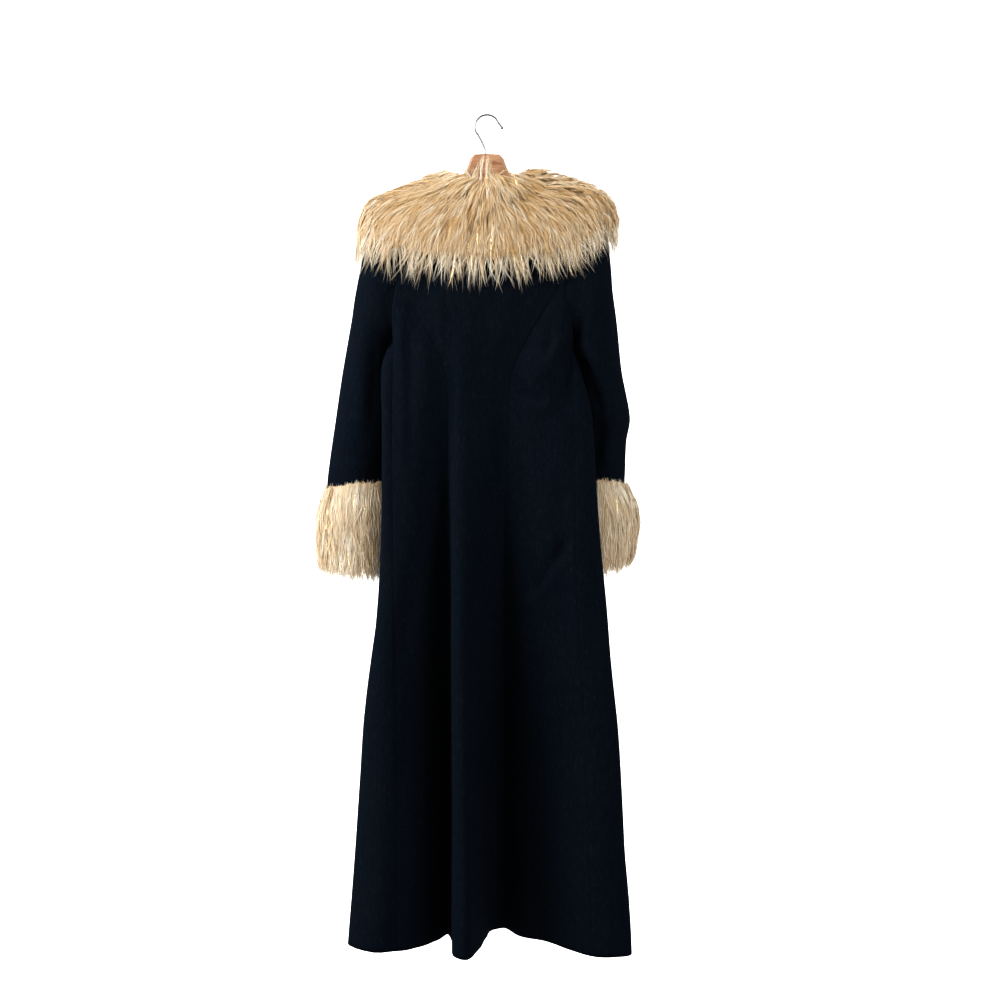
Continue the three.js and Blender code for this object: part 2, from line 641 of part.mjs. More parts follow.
const backSheet = lowerSheet(BACK_LINES);
const rightSheet = lowerSheet(RIGHT_FRONT_LINES);
const leftSheet = lowerSheet(LEFT_FRONT_LINES);
const leftPrincess = lineIndex(BACK_LINES, "left princess seam");
const rightPrincess = lineIndex(BACK_LINES, "right princess seam");
const backSideLeft = columnsOf(backSheet, 0, leftPrincess);
const backCentre = columnsOf(backSheet, leftPrincess, rightPrincess);
const backSideRight = columnsOf(backSheet, rightPrincess, BACK_LINES.length - 1);

const rightArmhole = lineIndex(RIGHT_FRONT_LINES, "right armhole");
const leftArmhole = lineIndex(LEFT_FRONT_LINES, "left armhole");
const backYoke = yokeSheet(BACK_YOKE, ["blade", "roll", "seam"], BACK_LINES, STEPS_BACK_YOKE, backCentre[0]);
const frontRows = ["chest", "bone", "roll", "seam"];
const rightYoke = yokeSheet(
  RIGHT_YOKE,
  frontRows,
  RIGHT_FRONT_LINES,
  STEPS_FRONT_YOKE,
  columnsOf(rightSheet, rightArmhole, RIGHT_FRONT_LINES.length - 1)[0],
);
const leftYoke = yokeSheet(
  LEFT_YOKE,
  frontRows,
  LEFT_FRONT_LINES,
  STEPS_FRONT_YOKE,
  columnsOf(leftSheet, 0, leftArmhole)[0],
);

const leftLoop = armholeLoop(backYoke, backSideLeft, leftSheet, leftYoke, 1);
const rightLoop = armholeLoop(backYoke, backSideRight, rightSheet, rightYoke, -1);

const body = {
  back_center: new Cloth().addSheet(backYoke).addSheet(backCentre),
  back_side_left: new Cloth().addSheet(backSideLeft),
  back_side_right: new Cloth().addSheet(backSideRight),
  front_left: new Cloth().addSheet(leftYoke).addSheet(leftSheet),
  front_right: new Cloth().addSheet(rightYoke).addSheet(rightSheet),
};
const sleeves = {
  sleeve_left: new Cloth().addSheet(sleeveSheet(LEFT_SLEEVE, leftLoop, 1), true),
  sleeve_right: new Cloth().addSheet(sleeveSheet(RIGHT_SLEEVE, rightLoop, -1), true),
};

const bodyNormals = sharedNormals(Object.values(body));
const normalsOf = (name) => (name in body ? bodyNormals : sharedNormals([sleeves[name]]));

const materials = {
  cloth: new THREE.MeshStandardMaterial({ color: COLOUR.cloth, roughness: 0.9, metalness: 0 }),
  fur: new THREE.MeshStandardMaterial({ color: COLOUR.fur, roughness: 0.85, metalness: 0 }),
  wood: new THREE.MeshStandardMaterial({ color: COLOUR.wood, roughness: 0.45, metalness: 0 }),
  chrome: new THREE.MeshStandardMaterial({ color: COLOUR.chrome, roughness: 0.2, metalness: 1 }),
};

const coat = new THREE.Group();

function addPiece(name, geometry, material) {
  geometry.computeVertexNormals();
  const mesh = new THREE.Mesh(geometry, material);
  mesh.name = name;
  coat.add(mesh);
  return mesh;
}

const cloths = Object.entries({ ...body, ...sleeves }).map(([name, cloth]) =>
  addPiece(name, clothWall(cloth, normalsOf(name)), materials.cloth),
);
addPiece("cuff_left", cuffGeometry(LEFT_CUFF, LEFT_SLEEVE.at(-1), 1), materials.fur);
addPiece("cuff_right", cuffGeometry(RIGHT_CUFF, RIGHT_SLEEVE.at(-1), -1), materials.fur);
addPiece("collar", collarGeometry(cloths), materials.fur);
addPiece("hanger_body", hangerBody(), materials.wood);
addPiece("hanger_hook", hangerHook(), materials.chrome);

export default coat;
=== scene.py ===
"""A maxi coat on a wooden hanger: dark princess-seamed cloth, a shaggy fur collar and fur cuffs.

The tables are in millimetres, the objects in metres. +Z is up, the coat's back faces +Y, the wearer's
left is +X, and the origin is the underside of the hook's arc.
"""
import math

import bpy
import numpy as np
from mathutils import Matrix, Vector, kdtree
from mathutils.bvhtree import BVHTree


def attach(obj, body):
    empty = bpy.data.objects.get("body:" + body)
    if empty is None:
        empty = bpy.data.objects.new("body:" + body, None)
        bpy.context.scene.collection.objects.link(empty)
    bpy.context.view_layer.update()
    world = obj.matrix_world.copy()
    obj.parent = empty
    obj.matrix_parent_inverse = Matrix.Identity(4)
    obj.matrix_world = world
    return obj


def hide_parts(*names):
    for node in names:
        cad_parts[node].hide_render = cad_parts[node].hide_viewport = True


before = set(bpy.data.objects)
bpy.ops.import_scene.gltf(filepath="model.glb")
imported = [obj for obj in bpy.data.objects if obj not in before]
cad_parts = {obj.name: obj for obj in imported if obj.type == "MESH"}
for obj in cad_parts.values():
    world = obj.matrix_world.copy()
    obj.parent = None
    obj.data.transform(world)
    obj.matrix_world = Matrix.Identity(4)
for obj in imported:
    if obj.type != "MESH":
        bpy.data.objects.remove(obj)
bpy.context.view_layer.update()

MM = 0.001
SEED = 7
CHEST_Z = -430
WAIST_Z = -517
CUFF_Z = -790
THIGH_Z = -1050
HEM_Z = -1410
FLARE_AT_THIGH = 0.56


def table(columns, rows):
    names = columns.split()
    return [dict(zip(names, row)) for row in rows]


SLEEVE_COLUMNS = "outerZ innerZ outerX innerX middleY halfY foldAngle foldRise"
CUFF_COLUMNS = "z outerX innerX middleY halfY"


# The coat below the armholes, as lines from the top edge to the hem, from the left lap round the back
RING = table("name topX topY topZ chestX chestY waistX waistY cuffX cuffY hemX hemY", [
    ("left edge of lap", -22, -105, -335, -22, -103, -22, -100, -22, -102, -22, -106),
    ("left lap", 32, -105, -335, 32, -102, 30, -99, 32, -100, 30, -101),
    ("left breast", 72, -97, -335, 68, -98, 66, -94, 68, -85, 74, -80),
    ("left neck", 110, -80, -335, 92, -92, 92, -88, 96, -92, 112, -122),
    ("left fold", 132, -60, -335, 110, -80, 112, -76, 116, -90, 136, -136),
    ("left armhole", 152, -38, -335, 124, -64, 126, -60, 130, -76, 168, -124),
    ("left flank", 157, -22, -358, 135, -38, 139, -38, 146, -52, 207, -92),
    ("left hollow", 160, -8, -371, 142, -8, 145, -10, 150, -12, 231, -44),
    ("left edge", 162, 4, -376, 176, 24, 176, 26, 178, 28, 233, 0),
    ("left side", 161, 11, -376, 168, 38, 169, 42, 170, 42, 188, 34),
    ("left side seam", 160, 16, -375, 157, 41, 158, 44, 155, 42, 150, 28),
    ("left side lobe", 159, 37, -354, 135, 51, 128, 51, 121, 40, 130, 20),
    ("left slope", 156, 45, -318, 103, 51, 94, 46, 92, 22, 86, -25),
    ("left princess seam", 147, 47, -285, 72, 46, 66, 38, 63, 3, 69, -58),
    ("ridge foot", 108, 55, -281, 55, 50, 54, 45, 57, 34, 58, -5),
    ("ridge edge", 76, 58, -279, 47, 54, 48, 53, 54, 56, 54, 50),
    ("ridge crest", 42, 61, -278, 38, 56, 38, 55, 39, 66, 33, 70),
    ("ridge side", 8, 60, -278, 18, 54, 18, 51, 19, 50, 11, 25),
    ("valley bank", -40, 58, -279, -6, 51, -5, 44, -2, 20, -2, -40),
    ("valley foot", -86, 54, -280, -28, 48, -22, 39, -16, 4, -14, -74),
    ("right princess seam", -128, 46, -282, -47, 46, -37, 38, -28, -1, -31, -88),
    ("right slope", -131, 46, -305, -66, 48, -52, 41, -50, 12, -57, -46),
    ("right rise", -135, 44, -328, -94, 52, -80, 46, -80, 32, -99, -20),
    ("right lobe", -141, 36, -354, -122, 50, -114, 49, -117, 45, -140, 24),
    ("right side seam", -146, 15, -372, -144, 40, -146, 46, -150, 48, -176, 54),
    ("right side", -147, 9, -374, -152, 33, -162, 41, -176, 43, -209, 58),
    ("right edge", -147, 2, -374, -156, 14, -175, 26, -195, 28, -238, 45),
    ("right hollow", -146, -8, -371, -133, -6, -137, -8, -137, -10, -240, -35),
    ("right flank", -143, -22, -358, -128, -38, -130, -38, -133, -52, -207, -95),
    ("right armhole", -138, -38, -335, -117, -66, -117, -62, -121, -80, -168, -130),
    ("right fold", -124, -60, -335, -106, -80, -104, -76, -108, -92, -140, -138),
    ("right neck", -104, -80, -335, -90, -92, -88, -88, -92, -94, -112, -122),
    ("right breast", -70, -99, -335, -64, -101, -64, -96, -66, -90, -76, -86),
    ("right lap", -30, -110, -335, -30, -108, -30, -105, -30, -107, -30, -112),
    ("right edge of lap", 22, -110, -335, 22, -108, 22, -105, 22, -107, 22, -113),
])
# The same lines above that, up to the shoulder seams
BACK_YOKE = table("name bladeX bladeY bladeZ rollX rollY rollZ seamX seamY seamZ", [
    ("left princess seam", 166, 40, -220, 194, 14, -161, 196, 0, -156),
    ("ridge foot", 122, 50, -214, 137, 13, -136, 137, 0, -131),
    ("ridge edge", 76, 54, -208, 76, 14, -123, 76, 0, -118),
    ("ridge crest", 30, 56, -206, 37, 43, -146, 38, 38, -134),
    ("ridge side", -12, 56, -206, -30, 43, -147, -32, 39, -135),
    ("valley bank", -66, 54, -208, -76, 14, -123, -76, 0, -118),
    ("valley foot", -112, 50, -213, -137, 13, -136, -137, 0, -131),
    ("right princess seam", -156, 40, -218, -194, 14, -161, -196, 0, -156),
])
FRONT_YOKE = table("name chestX chestY chestZ boneX boneY boneZ rollX rollY rollZ seamX seamY seamZ", [
    ("right armhole", -140, -45, -290, -159, -36, -216, -194, -14, -161, -196, 0, -156),
    ("right fold", -124, -62, -290, -135, -52, -214, -137, -13, -136, -137, 0, -131),
    ("right neck", -104, -79, -290, -98, -66, -214, -76, -14, -123, -76, 0, -118),
    ("right breast", -72, -97, -290, -70, -84, -222, -68, -54, -165, -66, -44, -150),
    ("right lap", -30, -107, -290, -32, -99, -236, -36, -87, -205, -38, -81, -194),
    ("right edge of lap", 22, -107, -290, 22, -99, -240, 22, -91, -214, 22, -87, -204),
    ("left edge of lap", -22, -102, -290, -22, -94, -240, -22, -86, -214, -22, -82, -204),
    ("left lap", 32, -102, -290, 33, -93, -236, 36, -81, -205, 38, -75, -194),
    ("left breast", 72, -95, -290, 70, -80, -222, 67, -48, -165, 66, -40, -150),
    ("left neck", 110, -78, -290, 102, -64, -214, 76, -14, -123, 76, 0, -118),
    ("left fold", 132, -62, -290, 138, -52, -214, 137, -13, -136, 137, 0, -131),
    ("left armhole", 150, -45, -290, 165, -36, -216, 194, -14, -161, 196, 0, -156),
])
LEFT_SLEEVE = table(SLEEVE_COLUMNS, [
    (-215, -386, 204, 164, -4, 52, 90, 0),
    (-330, -402, 230, 163, -24, 52, 90, 0.02),
    (-430, -430, 250, 153, -38, 51, 70, 0.04),
    (-517, -517, 263, 153, -46, 51, 60, 0.03),
    (-618, -618, 277, 161, -58, 45, 80, 0),
    (-637, -637, 277, 161, -58, 45, 80, 0),
])
RIGHT_SLEEVE = table(SLEEVE_COLUMNS, [
    (-215, -382, 204.5, 149, -3, 52, 110, 0.02),
    (-330, -400, 217.5, 149, -14, 54, 122, 0.08),
    (-430, -430, 231, 150, -29, 55, 108, 0.12),
    (-510, -510, 245, 148, -40, 53, 76, 0.14),
    (-553, -553, 239, 146, -48, 51, 76, 0.08),
    (-615, -615, 238, 146, -58, 47, 80, 0),
    (-632, -632, 238, 146, -58, 47, 80, 0),
])
LEFT_CUFF = table(CUFF_COLUMNS, [
    (-622, 284, 156, -57, 53),
    (-655, 293, 153, -59, 60),
    (-700, 298, 152, -60, 64),
    (-750, 296, 153, -60, 63),
    (-788, 288, 157, -60, 58),
])
RIGHT_CUFF = table(CUFF_COLUMNS, [
    (-619, 246, 143, -56, 54),
    (-655, 259, 141, -58, 62),
    (-695, 264, 141, -60, 66),
    (-745, 258, 142, -60, 64),
    (-783, 236, 145, -60, 57),
])
# The fur's outer surface, as half of the collar's lines from the neck edge out, and as the cuffs' heights
COLLAR = table("name neckX neckY neckZ nearX nearY nearZ farX farY farZ edgeX edgeY edgeZ", [
    ("front edge", 4, -86, -200, 5, -101, -240, 6, -108, -280, 7, -111, -318),
    ("breast", 37, -77, -193, 48, -92, -232, 60, -98, -275, 74, -96, -318),
    ("chest", 64, -40, -144, 88, -62, -192, 112, -70, -240, 132, -60, -300),
    ("collarbone", 72, -14, -116, 112, -36, -158, 160, -34, -210, 184, -38, -280),
    ("shoulder", 73, 0, -110, 130, 0, -130, 190, 0, -160, 211, -4, -256),
    ("blade", 70, 14, -113, 118, 34, -168, 162, 38, -217, 184, 40, -272),
    ("back", 41, 37, -123, 62, 54, -186, 86, 57, -236, 104, 56, -288),
    ("middle of the back", 0, 41, -129, 0, 56, -192, 0, 60, -246, 0, 61, -296),
])
NECK_LINES = ("ridge edge", "valley bank", "right neck", "left neck")
BACK_ROWS = ("seam", "roll", "blade")
FRONT_ROWS = ("seam", "roll", "bone", "chest")

BACK, FRONT = 1, -1
# Creases of a piece's back or front, as curves through three points. A negative depth is a trough.
CREASE_COLUMNS = "x1 z1 x2 z2 x3 z3 width depth"
CREASES = {
    ("body", BACK): table(CREASE_COLUMNS, [
        (80, -300, 77, -355, 70, -420, 8, 2.6),
        (144, -330, 143, -450, 141, -640, 9, 3.2),
        (131, -350, 128, -470, 124, -690, 9, -2.6),
        (106, -330, 104, -410, 98, -560, 12, 1.8),
        (-45, -466, -72, -480, -102, -488, 6, -5.5),
        (-66, -492, -92, -500, -118, -497, 9, 2.0),
        (-70, -400, -80, -430, -90, -462, 15, 4.8),
        (-104, -352, -105, -385, -100, -415, 6, -4.5),
        (-152, -380, -134, -440, -140, -530, 14, -12.0),
        (-132, -376, -112, -412, -98, -452, 9, 4.0),
        (-138, -700, -104, -770, -60, -828, 8, -10.0),
        (-128, -736, -92, -796, -52, -848, 10, 6.0),
        (-70, -560, -84, -640, -90, -720, 16, 2.2),
        (-112, -600, -124, -760, -142, -980, 16, -2.4),
        (-146, -800, -160, -1000, -182, -1260, 18, 2.2),
        (-100, -980, -112, -1130, -128, -1330, 14, 1.8),
        (150, -345, 160, -380, 168, -425, 5, -4.0),
        (122, -760, 128, -980, 136, -1300, 20, -2.4),
        (150, -620, 158, -960, 172, -1340, 24, 7.0),
        (84, -620, 90, -760, 92, -900, 12, -1.6),
        (57, -350, 55, -800, 47, -1350, 9, 3.4),
        (8, -600, 2, -1050, -4, -1620, 22, -12.0),
    ]),
    ("body", FRONT): table(CREASE_COLUMNS, [
        (96, -420, 84, -470, 66, -520, 9, -3.0),
        (-96, -410, -82, -462, -60, -516, 9, -3.4),
        (120, -560, 112, -760, 118, -1000, 16, 2.6),
        (-118, -520, -112, -740, -122, -1010, 15, 2.4),
        (60, -620, 54, -860, 58, -1200, 14, -2.2),
        (-66, -640, -60, -900, -70, -1260, 15, -2.4),
        (40, -400, 46, -440, 44, -500, 10, 2.0),
        (-22, -480, -26, -620, -24, -800, 9, 1.4),
        (170, -980, 186, -1130, 200, -1330, 16, -2.2),
        (-172, -960, -184, -1120, -206, -1320, 15, -2.0),
    ]),
    ("left", BACK): table(CREASE_COLUMNS, [
        (262, -570, 232, -579, 196, -583, 5, -1.8),
        (258, -590, 228, -597, 198, -600, 7, 1.2),
        (232, -300, 236, -380, 240, -470, 10, -2.0),
        (205, -330, 210, -430, 216, -560, 12, 2.4),
        (186, -380, 192, -450, 196, -540, 8, -2.6),
    ]),
    ("left", FRONT): table(CREASE_COLUMNS, [
        (240, -420, 210, -440, 180, -436, 7, -2.6),
        (244, -520, 214, -534, 184, -528, 8, -2.0),
    ]),
    ("right", BACK): table(CREASE_COLUMNS, [
        (-146, -400, -176, -452, -198, -520, 11, -11.0),
        (-144, -372, -188, -446, -214, -530, 8, 6.5),
        (-211, -506, -204, -552, -199, -606, 7, 3.2),
        (-196, -510, -190, -556, -186, -600, 9, -4.0),
        (-218, -330, -224, -400, -228, -470, 9, -1.6),
        (-232, -520, -222, -552, -218, -590, 8, -2.2),
    ]),
    ("right", FRONT): table(CREASE_COLUMNS, [
        (-236, -430, -208, -446, -176, -440, 7, -2.8),
        (-240, -516, -212, -532, -178, -526, 9, -2.4),
    ]),
}
# Broad, low waves over the whole cloth, with their wavelengths
SWELLS = table("acrossX acrossY downZ phase height", [
    (61, 83, 420, 0.4, 0.55),
    (97, 71, 610, 2.1, 0.6),
    (143, 120, 340, 4.2, 0.5),
    (52, 60, 230, 1.3, 0.3),
])

# Rows between the tables' heights. The fades say how quickly the neck's sharp corners soften over them
LOWER_STEPS = (14, 11, 34, 32, 44)
BACK_STEPS = (3, 11, 8)
BACK_FADE = (1, 2, 2)
FRONT_STEPS = (3, 9, 9, 6)
FRONT_FADE = (1, 2, 2, 1)
LEFT_SLEEVE_STEPS = (7, 13, 11, 11, 13, 2)
RIGHT_SLEEVE_STEPS = (7, 18, 16, 12, 6, 8, 2)
# Spacing of the columns round the coat
COLUMN_WIDTH = 6.5
LEAST_GAP = 0.9
NEAR_SEAM = (1.4, 3.6)

HALF_CLOTH = 1.0
SEAM_DEPTH = 0.7
SEAM_WIDTH = 1.8
SEAM_REACH = 8.0
ARMHOLE_STILL = 16.0
FOLD_WIDTH = 24  # degrees round a sleeve
CREASE_END = 0.3


def curve(points, at, sharp=None):
    """Points on the smooth curve through the control points, at fractional positions."""
    points = np.asarray(points, float)
    at = np.asarray(at, float)
    sharp = np.zeros(points.shape[:-1] + (1,)) if sharp is None else sharp
    chords = np.diff(points, axis=0)
    lengths = np.maximum(np.linalg.norm(chords, axis=-1, keepdims=True), 1e-6)
    leaving = chords / lengths
    arriving = leaving.copy()
    central = (chords[1:] + chords[:-1]) / (lengths[1:] + lengths[:-1])
    leaving[1:] = central + (leaving[1:] - central) * sharp[1:-1]
    arriving[:-1] = central + (arriving[:-1] - central) * sharp[1:-1]
    i = np.clip(np.floor(at).astype(int), 0, len(points) - 2)
    s = (at - i).reshape((-1,) + (1,) * (points.ndim - 1))
    s2, s3 = s**2, s**3
    return (
        points[i] * (2 * s3 - 3 * s2 + 1)
        + points[i + 1] * (3 * s2 - 2 * s3)
        + leaving[i] * lengths[i] * (s3 - 2 * s2 + s)
        + arriving[i] * lengths[i] * (s3 - s2)
    )


def stretches(steps):
    """Fractional positions that split each stretch between two points into equal steps."""
    at = [i + k / count for i, count in enumerate(steps) for k in range(count)]
    return np.array(at + [len(steps)])


def corners(entry, rows):
    """A table entry's points at the named rows."""
    return [(entry[f"{row}X"], entry[f"{row}Y"], entry[f"{row}Z"]) for row in rows]


def skirt_line(line):
    """A line's points below the armholes. At the thighs it has done a set share of its way out to the hem."""
    cuff = np.array([line["cuffX"], line["cuffY"]])
    hem = np.array([line["hemX"], line["hemY"]])
    thigh = cuff + (hem - cuff) * FLARE_AT_THIGH
    return [
        (line["topX"], line["topY"], line["topZ"]),
        (line["chestX"], line["chestY"], CHEST_Z),
        (line["waistX"], line["waistY"], WAIST_Z),
        (*cuff, CUFF_Z),
        (*thigh, THIGH_Z),
        (*hem, HEM_Z),
    ]


ABOVE = {entry["name"]: corners(entry, BACK_ROWS) for entry in BACK_YOKE}
ABOVE.update({entry["name"]: corners(entry, FRONT_ROWS) for entry in FRONT_YOKE})
NAMES = [line["name"] for line in RING]
LEFT_ARM, LEFT_SIDE = NAMES.index("left armhole"), NAMES.index("left side seam")
LEFT_PRINCESS, RIGHT_PRINCESS = NAMES.index("left princess seam"), NAMES.index("right princess seam")
RIGHT_SIDE, RIGHT_ARM = NAMES.index("right side seam"), NAMES.index("right armhole")
LAST = len(RING) - 1
SEAMS = (LEFT_SIDE, LEFT_PRINCESS, RIGHT_PRINCESS, RIGHT_SIDE)


def ring_columns(lines):
    """Positions round the coat, evenly spread and closer beside a seam."""
    row = sum(LOWER_STEPS[:3])
    widths = np.linalg.norm(np.diff(lines[:, row], axis=0), axis=-1)
    at = []
    for i, width in enumerate(widths):
        count = max(1, math.ceil(width / COLUMN_WIDTH))
        shares = {k / count for k in range(count)}
        if i in SEAMS:
            shares |= {near / width for near in NEAR_SEAM}
        if i + 1 in SEAMS:
            shares |= {1 - near / width for near in NEAR_SEAM}
        kept = []
        for share in sorted(shares):
            if not kept or (share - kept[-1]) * width > LEAST_GAP:
                kept.append(share)
        at += [i + share for share in kept]
    return np.array(at + [LAST])


def across(lines, at, sharp=None):
    """Rows of points at positions across the lines."""
    return curve(lines, at, sharp).transpose(1, 0, 2)


def lower_line(line):
    """A line of the ring from its top edge to the hem. It goes on smoothly from the part above."""
    above = ABOVE.get(line["name"], [])
    return curve(above + skirt_line(line), stretches(LOWER_STEPS) + len(above))


LINES_BELOW = np.array([lower_line(line) for line in RING])
RING_AT = ring_columns(LINES_BELOW)
LOWER = across(LINES_BELOW, RING_AT)


def column_range(first, last):
    """The columns between two lines of the ring, both included."""
    return np.flatnonzero((RING_AT >= first - 1e-9) & (RING_AT <= last + 1e-9))


def yoke(first, last, steps, fade):
    """Rows from the shoulder seam down to the ring. The neck's sharp corners fade on the way."""
    at = stretches(steps)
    lines = np.array([curve(ABOVE[line["name"]] + skirt_line(line), at) for line in RING[first:last + 1]])
    left = np.interp(at, range(len(steps) + 1), 1 - np.cumsum((0,) + fade) / sum(fade))
    sharp = np.array([left**2 * (line["name"] in NECK_LINES) for line in RING[first:last + 1]])
    columns = column_range(first, last)
    grid = across(lines, RING_AT[columns] - first, sharp[:, :, None])
    to_ring = (np.linspace(0, 1, len(grid)) ** 3)[:, None, None]
    return grid + (LOWER[0, columns] - grid[-1]) * to_ring


BACK_TOP = yoke(LEFT_PRINCESS, RIGHT_PRINCESS, BACK_STEPS, BACK_FADE)
LEFT_TOP = yoke(0, LEFT_ARM, FRONT_STEPS, FRONT_FADE)
RIGHT_TOP = yoke(RIGHT_ARM, LAST, FRONT_STEPS, FRONT_FADE)


def armhole(back_edge, below, front_edge):
    """The points of an armhole, and the share of its length at which each lies."""
    loop = np.concatenate([back_edge[:-1], below[:-1], front_edge])[:-1]
    lengths = np.cumsum(np.linalg.norm(np.roll(loop, -1, axis=0) - loop, axis=-1))
    return loop, np.concatenate([[0], lengths[:-1]]) / lengths[-1]


LEFT_LOOP = armhole(
    BACK_TOP[:, 0],
    LOWER[0, column_range(LEFT_ARM, LEFT_PRINCESS)][::-1],
    LEFT_TOP[::-1, -1],
)
RIGHT_LOOP = armhole(
    BACK_TOP[:, -1],
    LOWER[0, column_range(RIGHT_PRINCESS, RIGHT_ARM)],
    RIGHT_TOP[::-1, 0],
)


def sleeve_section(row, side, angle):
    """Points round a sleeve or a cuff. A fold swells it near one angle."""
    fold = math.radians(row.get("foldAngle", 0))
    away = np.arctan2(np.sin(angle - fold), np.cos(angle - fold))
    swell = 1 + row.get("foldRise", 0) * np.exp(-((away / math.radians(FOLD_WIDTH)) ** 2))
    half = (row["outerX"] - row["innerX"]) / 2
    x = row["innerX"] + half + half * np.cos(angle) * swell
    y = row["middleY"] + row["halfY"] * np.sin(angle) * swell
    high = (1 + np.cos(angle)) / 2
    z = row["innerZ"] + (row["outerZ"] - row["innerZ"]) * high
    return np.stack([side * x, y, z], axis=-1)


def sleeve(rows, loop, shares, steps, side):
    """A tube from the armhole through the sections, with its first column repeated at the end."""
    angle = 2 * math.pi * shares
    grid = curve([loop] + [sleeve_section(row, side, angle) for row in rows], stretches(steps))
    if side < 0:
        grid = np.concatenate([grid[:, :1], grid[:, :0:-1]], axis=1)
    return np.concatenate([grid, grid[:, :1]], axis=1)


class Net:
    """Quads over grids of points, in millimetres, joined where the points coincide."""

    def __init__(self):
        self.index, self.points, self.uv, self.quads = {}, [], [], []

    def add(self, grid):
        steps_across = np.linalg.norm(np.diff(grid, axis=1), axis=-1)
        u = np.concatenate([np.zeros((len(grid), 1)), np.cumsum(steps_across, axis=1)], axis=1)
        u -= u[:, -1:] / 2
        ids = np.empty(grid.shape[:2], int)
        for r, c in np.ndindex(ids.shape):
            key = tuple(np.round(grid[r, c], 2))
            if key not in self.index:
                self.index[key] = len(self.points)
                self.points.append(grid[r, c])
                self.uv.append((u[r, c], grid[r, c, 2]))
            ids[r, c] = self.index[key]
        for r in range(len(ids) - 1):
            for c in range(ids.shape[1] - 1):
                quad = (ids[r, c], ids[r + 1, c], ids[r + 1, c + 1], ids[r, c + 1])
                if len(set(quad)) > 2:
                    self.quads.append(quad)
        return self

    def done(self):
        """Finds the rim, which is the edges with a quad on one side only."""
        self.points = np.array(self.points)
        self.quads = np.array(self.quads)
        pairs = (pair for quad in self.quads for pair in zip(quad, np.roll(quad, -1)))
        edges = dict.fromkeys((a, b) for a, b in pairs if a != b)
        self.rim = [(a, b) for a, b in edges if (b, a) not in edges]
        return self


def shared_normals(nets):
    """Normals that the nets share where their points coincide."""
    points = np.concatenate([net.points for net in nets])
    keys, ids = np.unique(np.round(points, 2), axis=0, return_inverse=True)
    ids = ids.reshape(-1)
    total = np.zeros((len(keys), 3))
    start = 0
    for net in nets:
        a, b, c, d = (net.points[net.quads[:, k]] for k in range(4))
        normals = np.cross(c - a, d - b)
        for k in range(4):
            np.add.at(total, ids[start + net.quads[:, k]], normals)
        start += len(net.points)
    total /= np.maximum(np.linalg.norm(total, axis=-1, keepdims=True), 1e-9)
    found, start = [], 0
    for net in nets:
        found.append(total[ids[start:start + len(net.points)]])
        start += len(net.points)
    return found


def through(crease):
    """Points on the parabola through a crease's three points, seen from the back or the front."""
    a, b, c = (np.array([crease[f"x{k}"], crease[f"z{k}"]]) for k in (1, 2, 3))
    t = np.linspace(0, 1, 8 + round(2.2 * np.linalg.norm(c - a) / crease["width"]))[:, None]
    return a * (1 - t) * (1 - 2 * t) + b * 4 * t * (1 - t) + c * t * (2 * t - 1), t[:, 0]


def smooth(x):
    x = np.clip(x, 0, 1)
    return x * x * (3 - 2 * x)


def bump(x, at, width):
    return np.exp(-(((x - at) / width) ** 2))


def crease_lift(points, normals, piece):
    """How far the creases and the broad swells move each point along its normal."""
    lift = np.zeros(len(points))
    for face in (BACK, FRONT):
        facing = smooth((face * normals[:, 1] + 0.1) / 0.5)
        for crease in CREASES[piece, face]:
            path, t = through(crease)
            apart = np.linalg.norm(points[:, None, (0, 2)] - path[None], axis=-1)
            share = t[apart.argmin(axis=1)]
            ends = smooth(share / CREASE_END) * smooth((1 - share) / CREASE_END)
            lift += crease["depth"] * bump(apart.min(axis=1), 0, crease["width"]) * ends * facing
    for swell in SWELLS:
        x = points[:, 0] / swell["acrossX"] + points[:, 1] / swell["acrossY"] + points[:, 2] / swell["downZ"]
        lift += swell["height"] * np.sin(2 * math.pi * x + swell["phase"])
    return lift


def distance_to(points, others, reach):
    """Distance from each point to the nearest of some others, at most reach."""
    tree = kdtree.KDTree(len(others))
    for i, p in enumerate(others):
        tree.insert(p, i)
    tree.balance()
    return np.array([min(tree.find(p)[2], reach) for p in points])


def root_piece(name, mesh):
    piece = bpy.data.objects.new(name, mesh)
    bpy.context.scene.collection.objects.link(piece)
    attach(piece, "root")
    return piece


def cloth_shell(name, net, normals, seam_points, material):
    """A closed shell on both sides of a net. Its outer face dips beside the seams."""
    near = np.full(len(net.points), np.inf)
    if len(seam_points):
        near = distance_to(net.points, seam_points, SEAM_REACH)
    outer = net.points + normals * (HALF_CLOTH - SEAM_DEPTH * bump(near, 0, SEAM_WIDTH))[:, None]
    inner = net.points - normals * HALF_CLOTH
    count = len(net.points)
    quads = [tuple(dict.fromkeys(quad)) for quad in net.quads.tolist()]
    faces = quads + [tuple(i + count for i in quad[::-1]) for quad in quads]
    faces += [(b, a, a + count, b + count) for a, b in net.rim]
    mesh = bpy.data.meshes.new(name)
    mesh.from_pydata((np.concatenate([outer, inner]) * MM).tolist(), [], faces)
    corner = np.empty(len(mesh.loops), int)
    mesh.loops.foreach_get("vertex_index", corner)
    uv = np.concatenate([net.uv, net.uv])[corner] * MM
    mesh.uv_layers.new(name="cloth").data.foreach_set("uv", uv.ravel())
    mesh.materials.append(material)
    mesh.polygons.foreach_set("use_smooth", [True] * len(mesh.polygons))
    mesh.update()
    return root_piece(name, mesh)


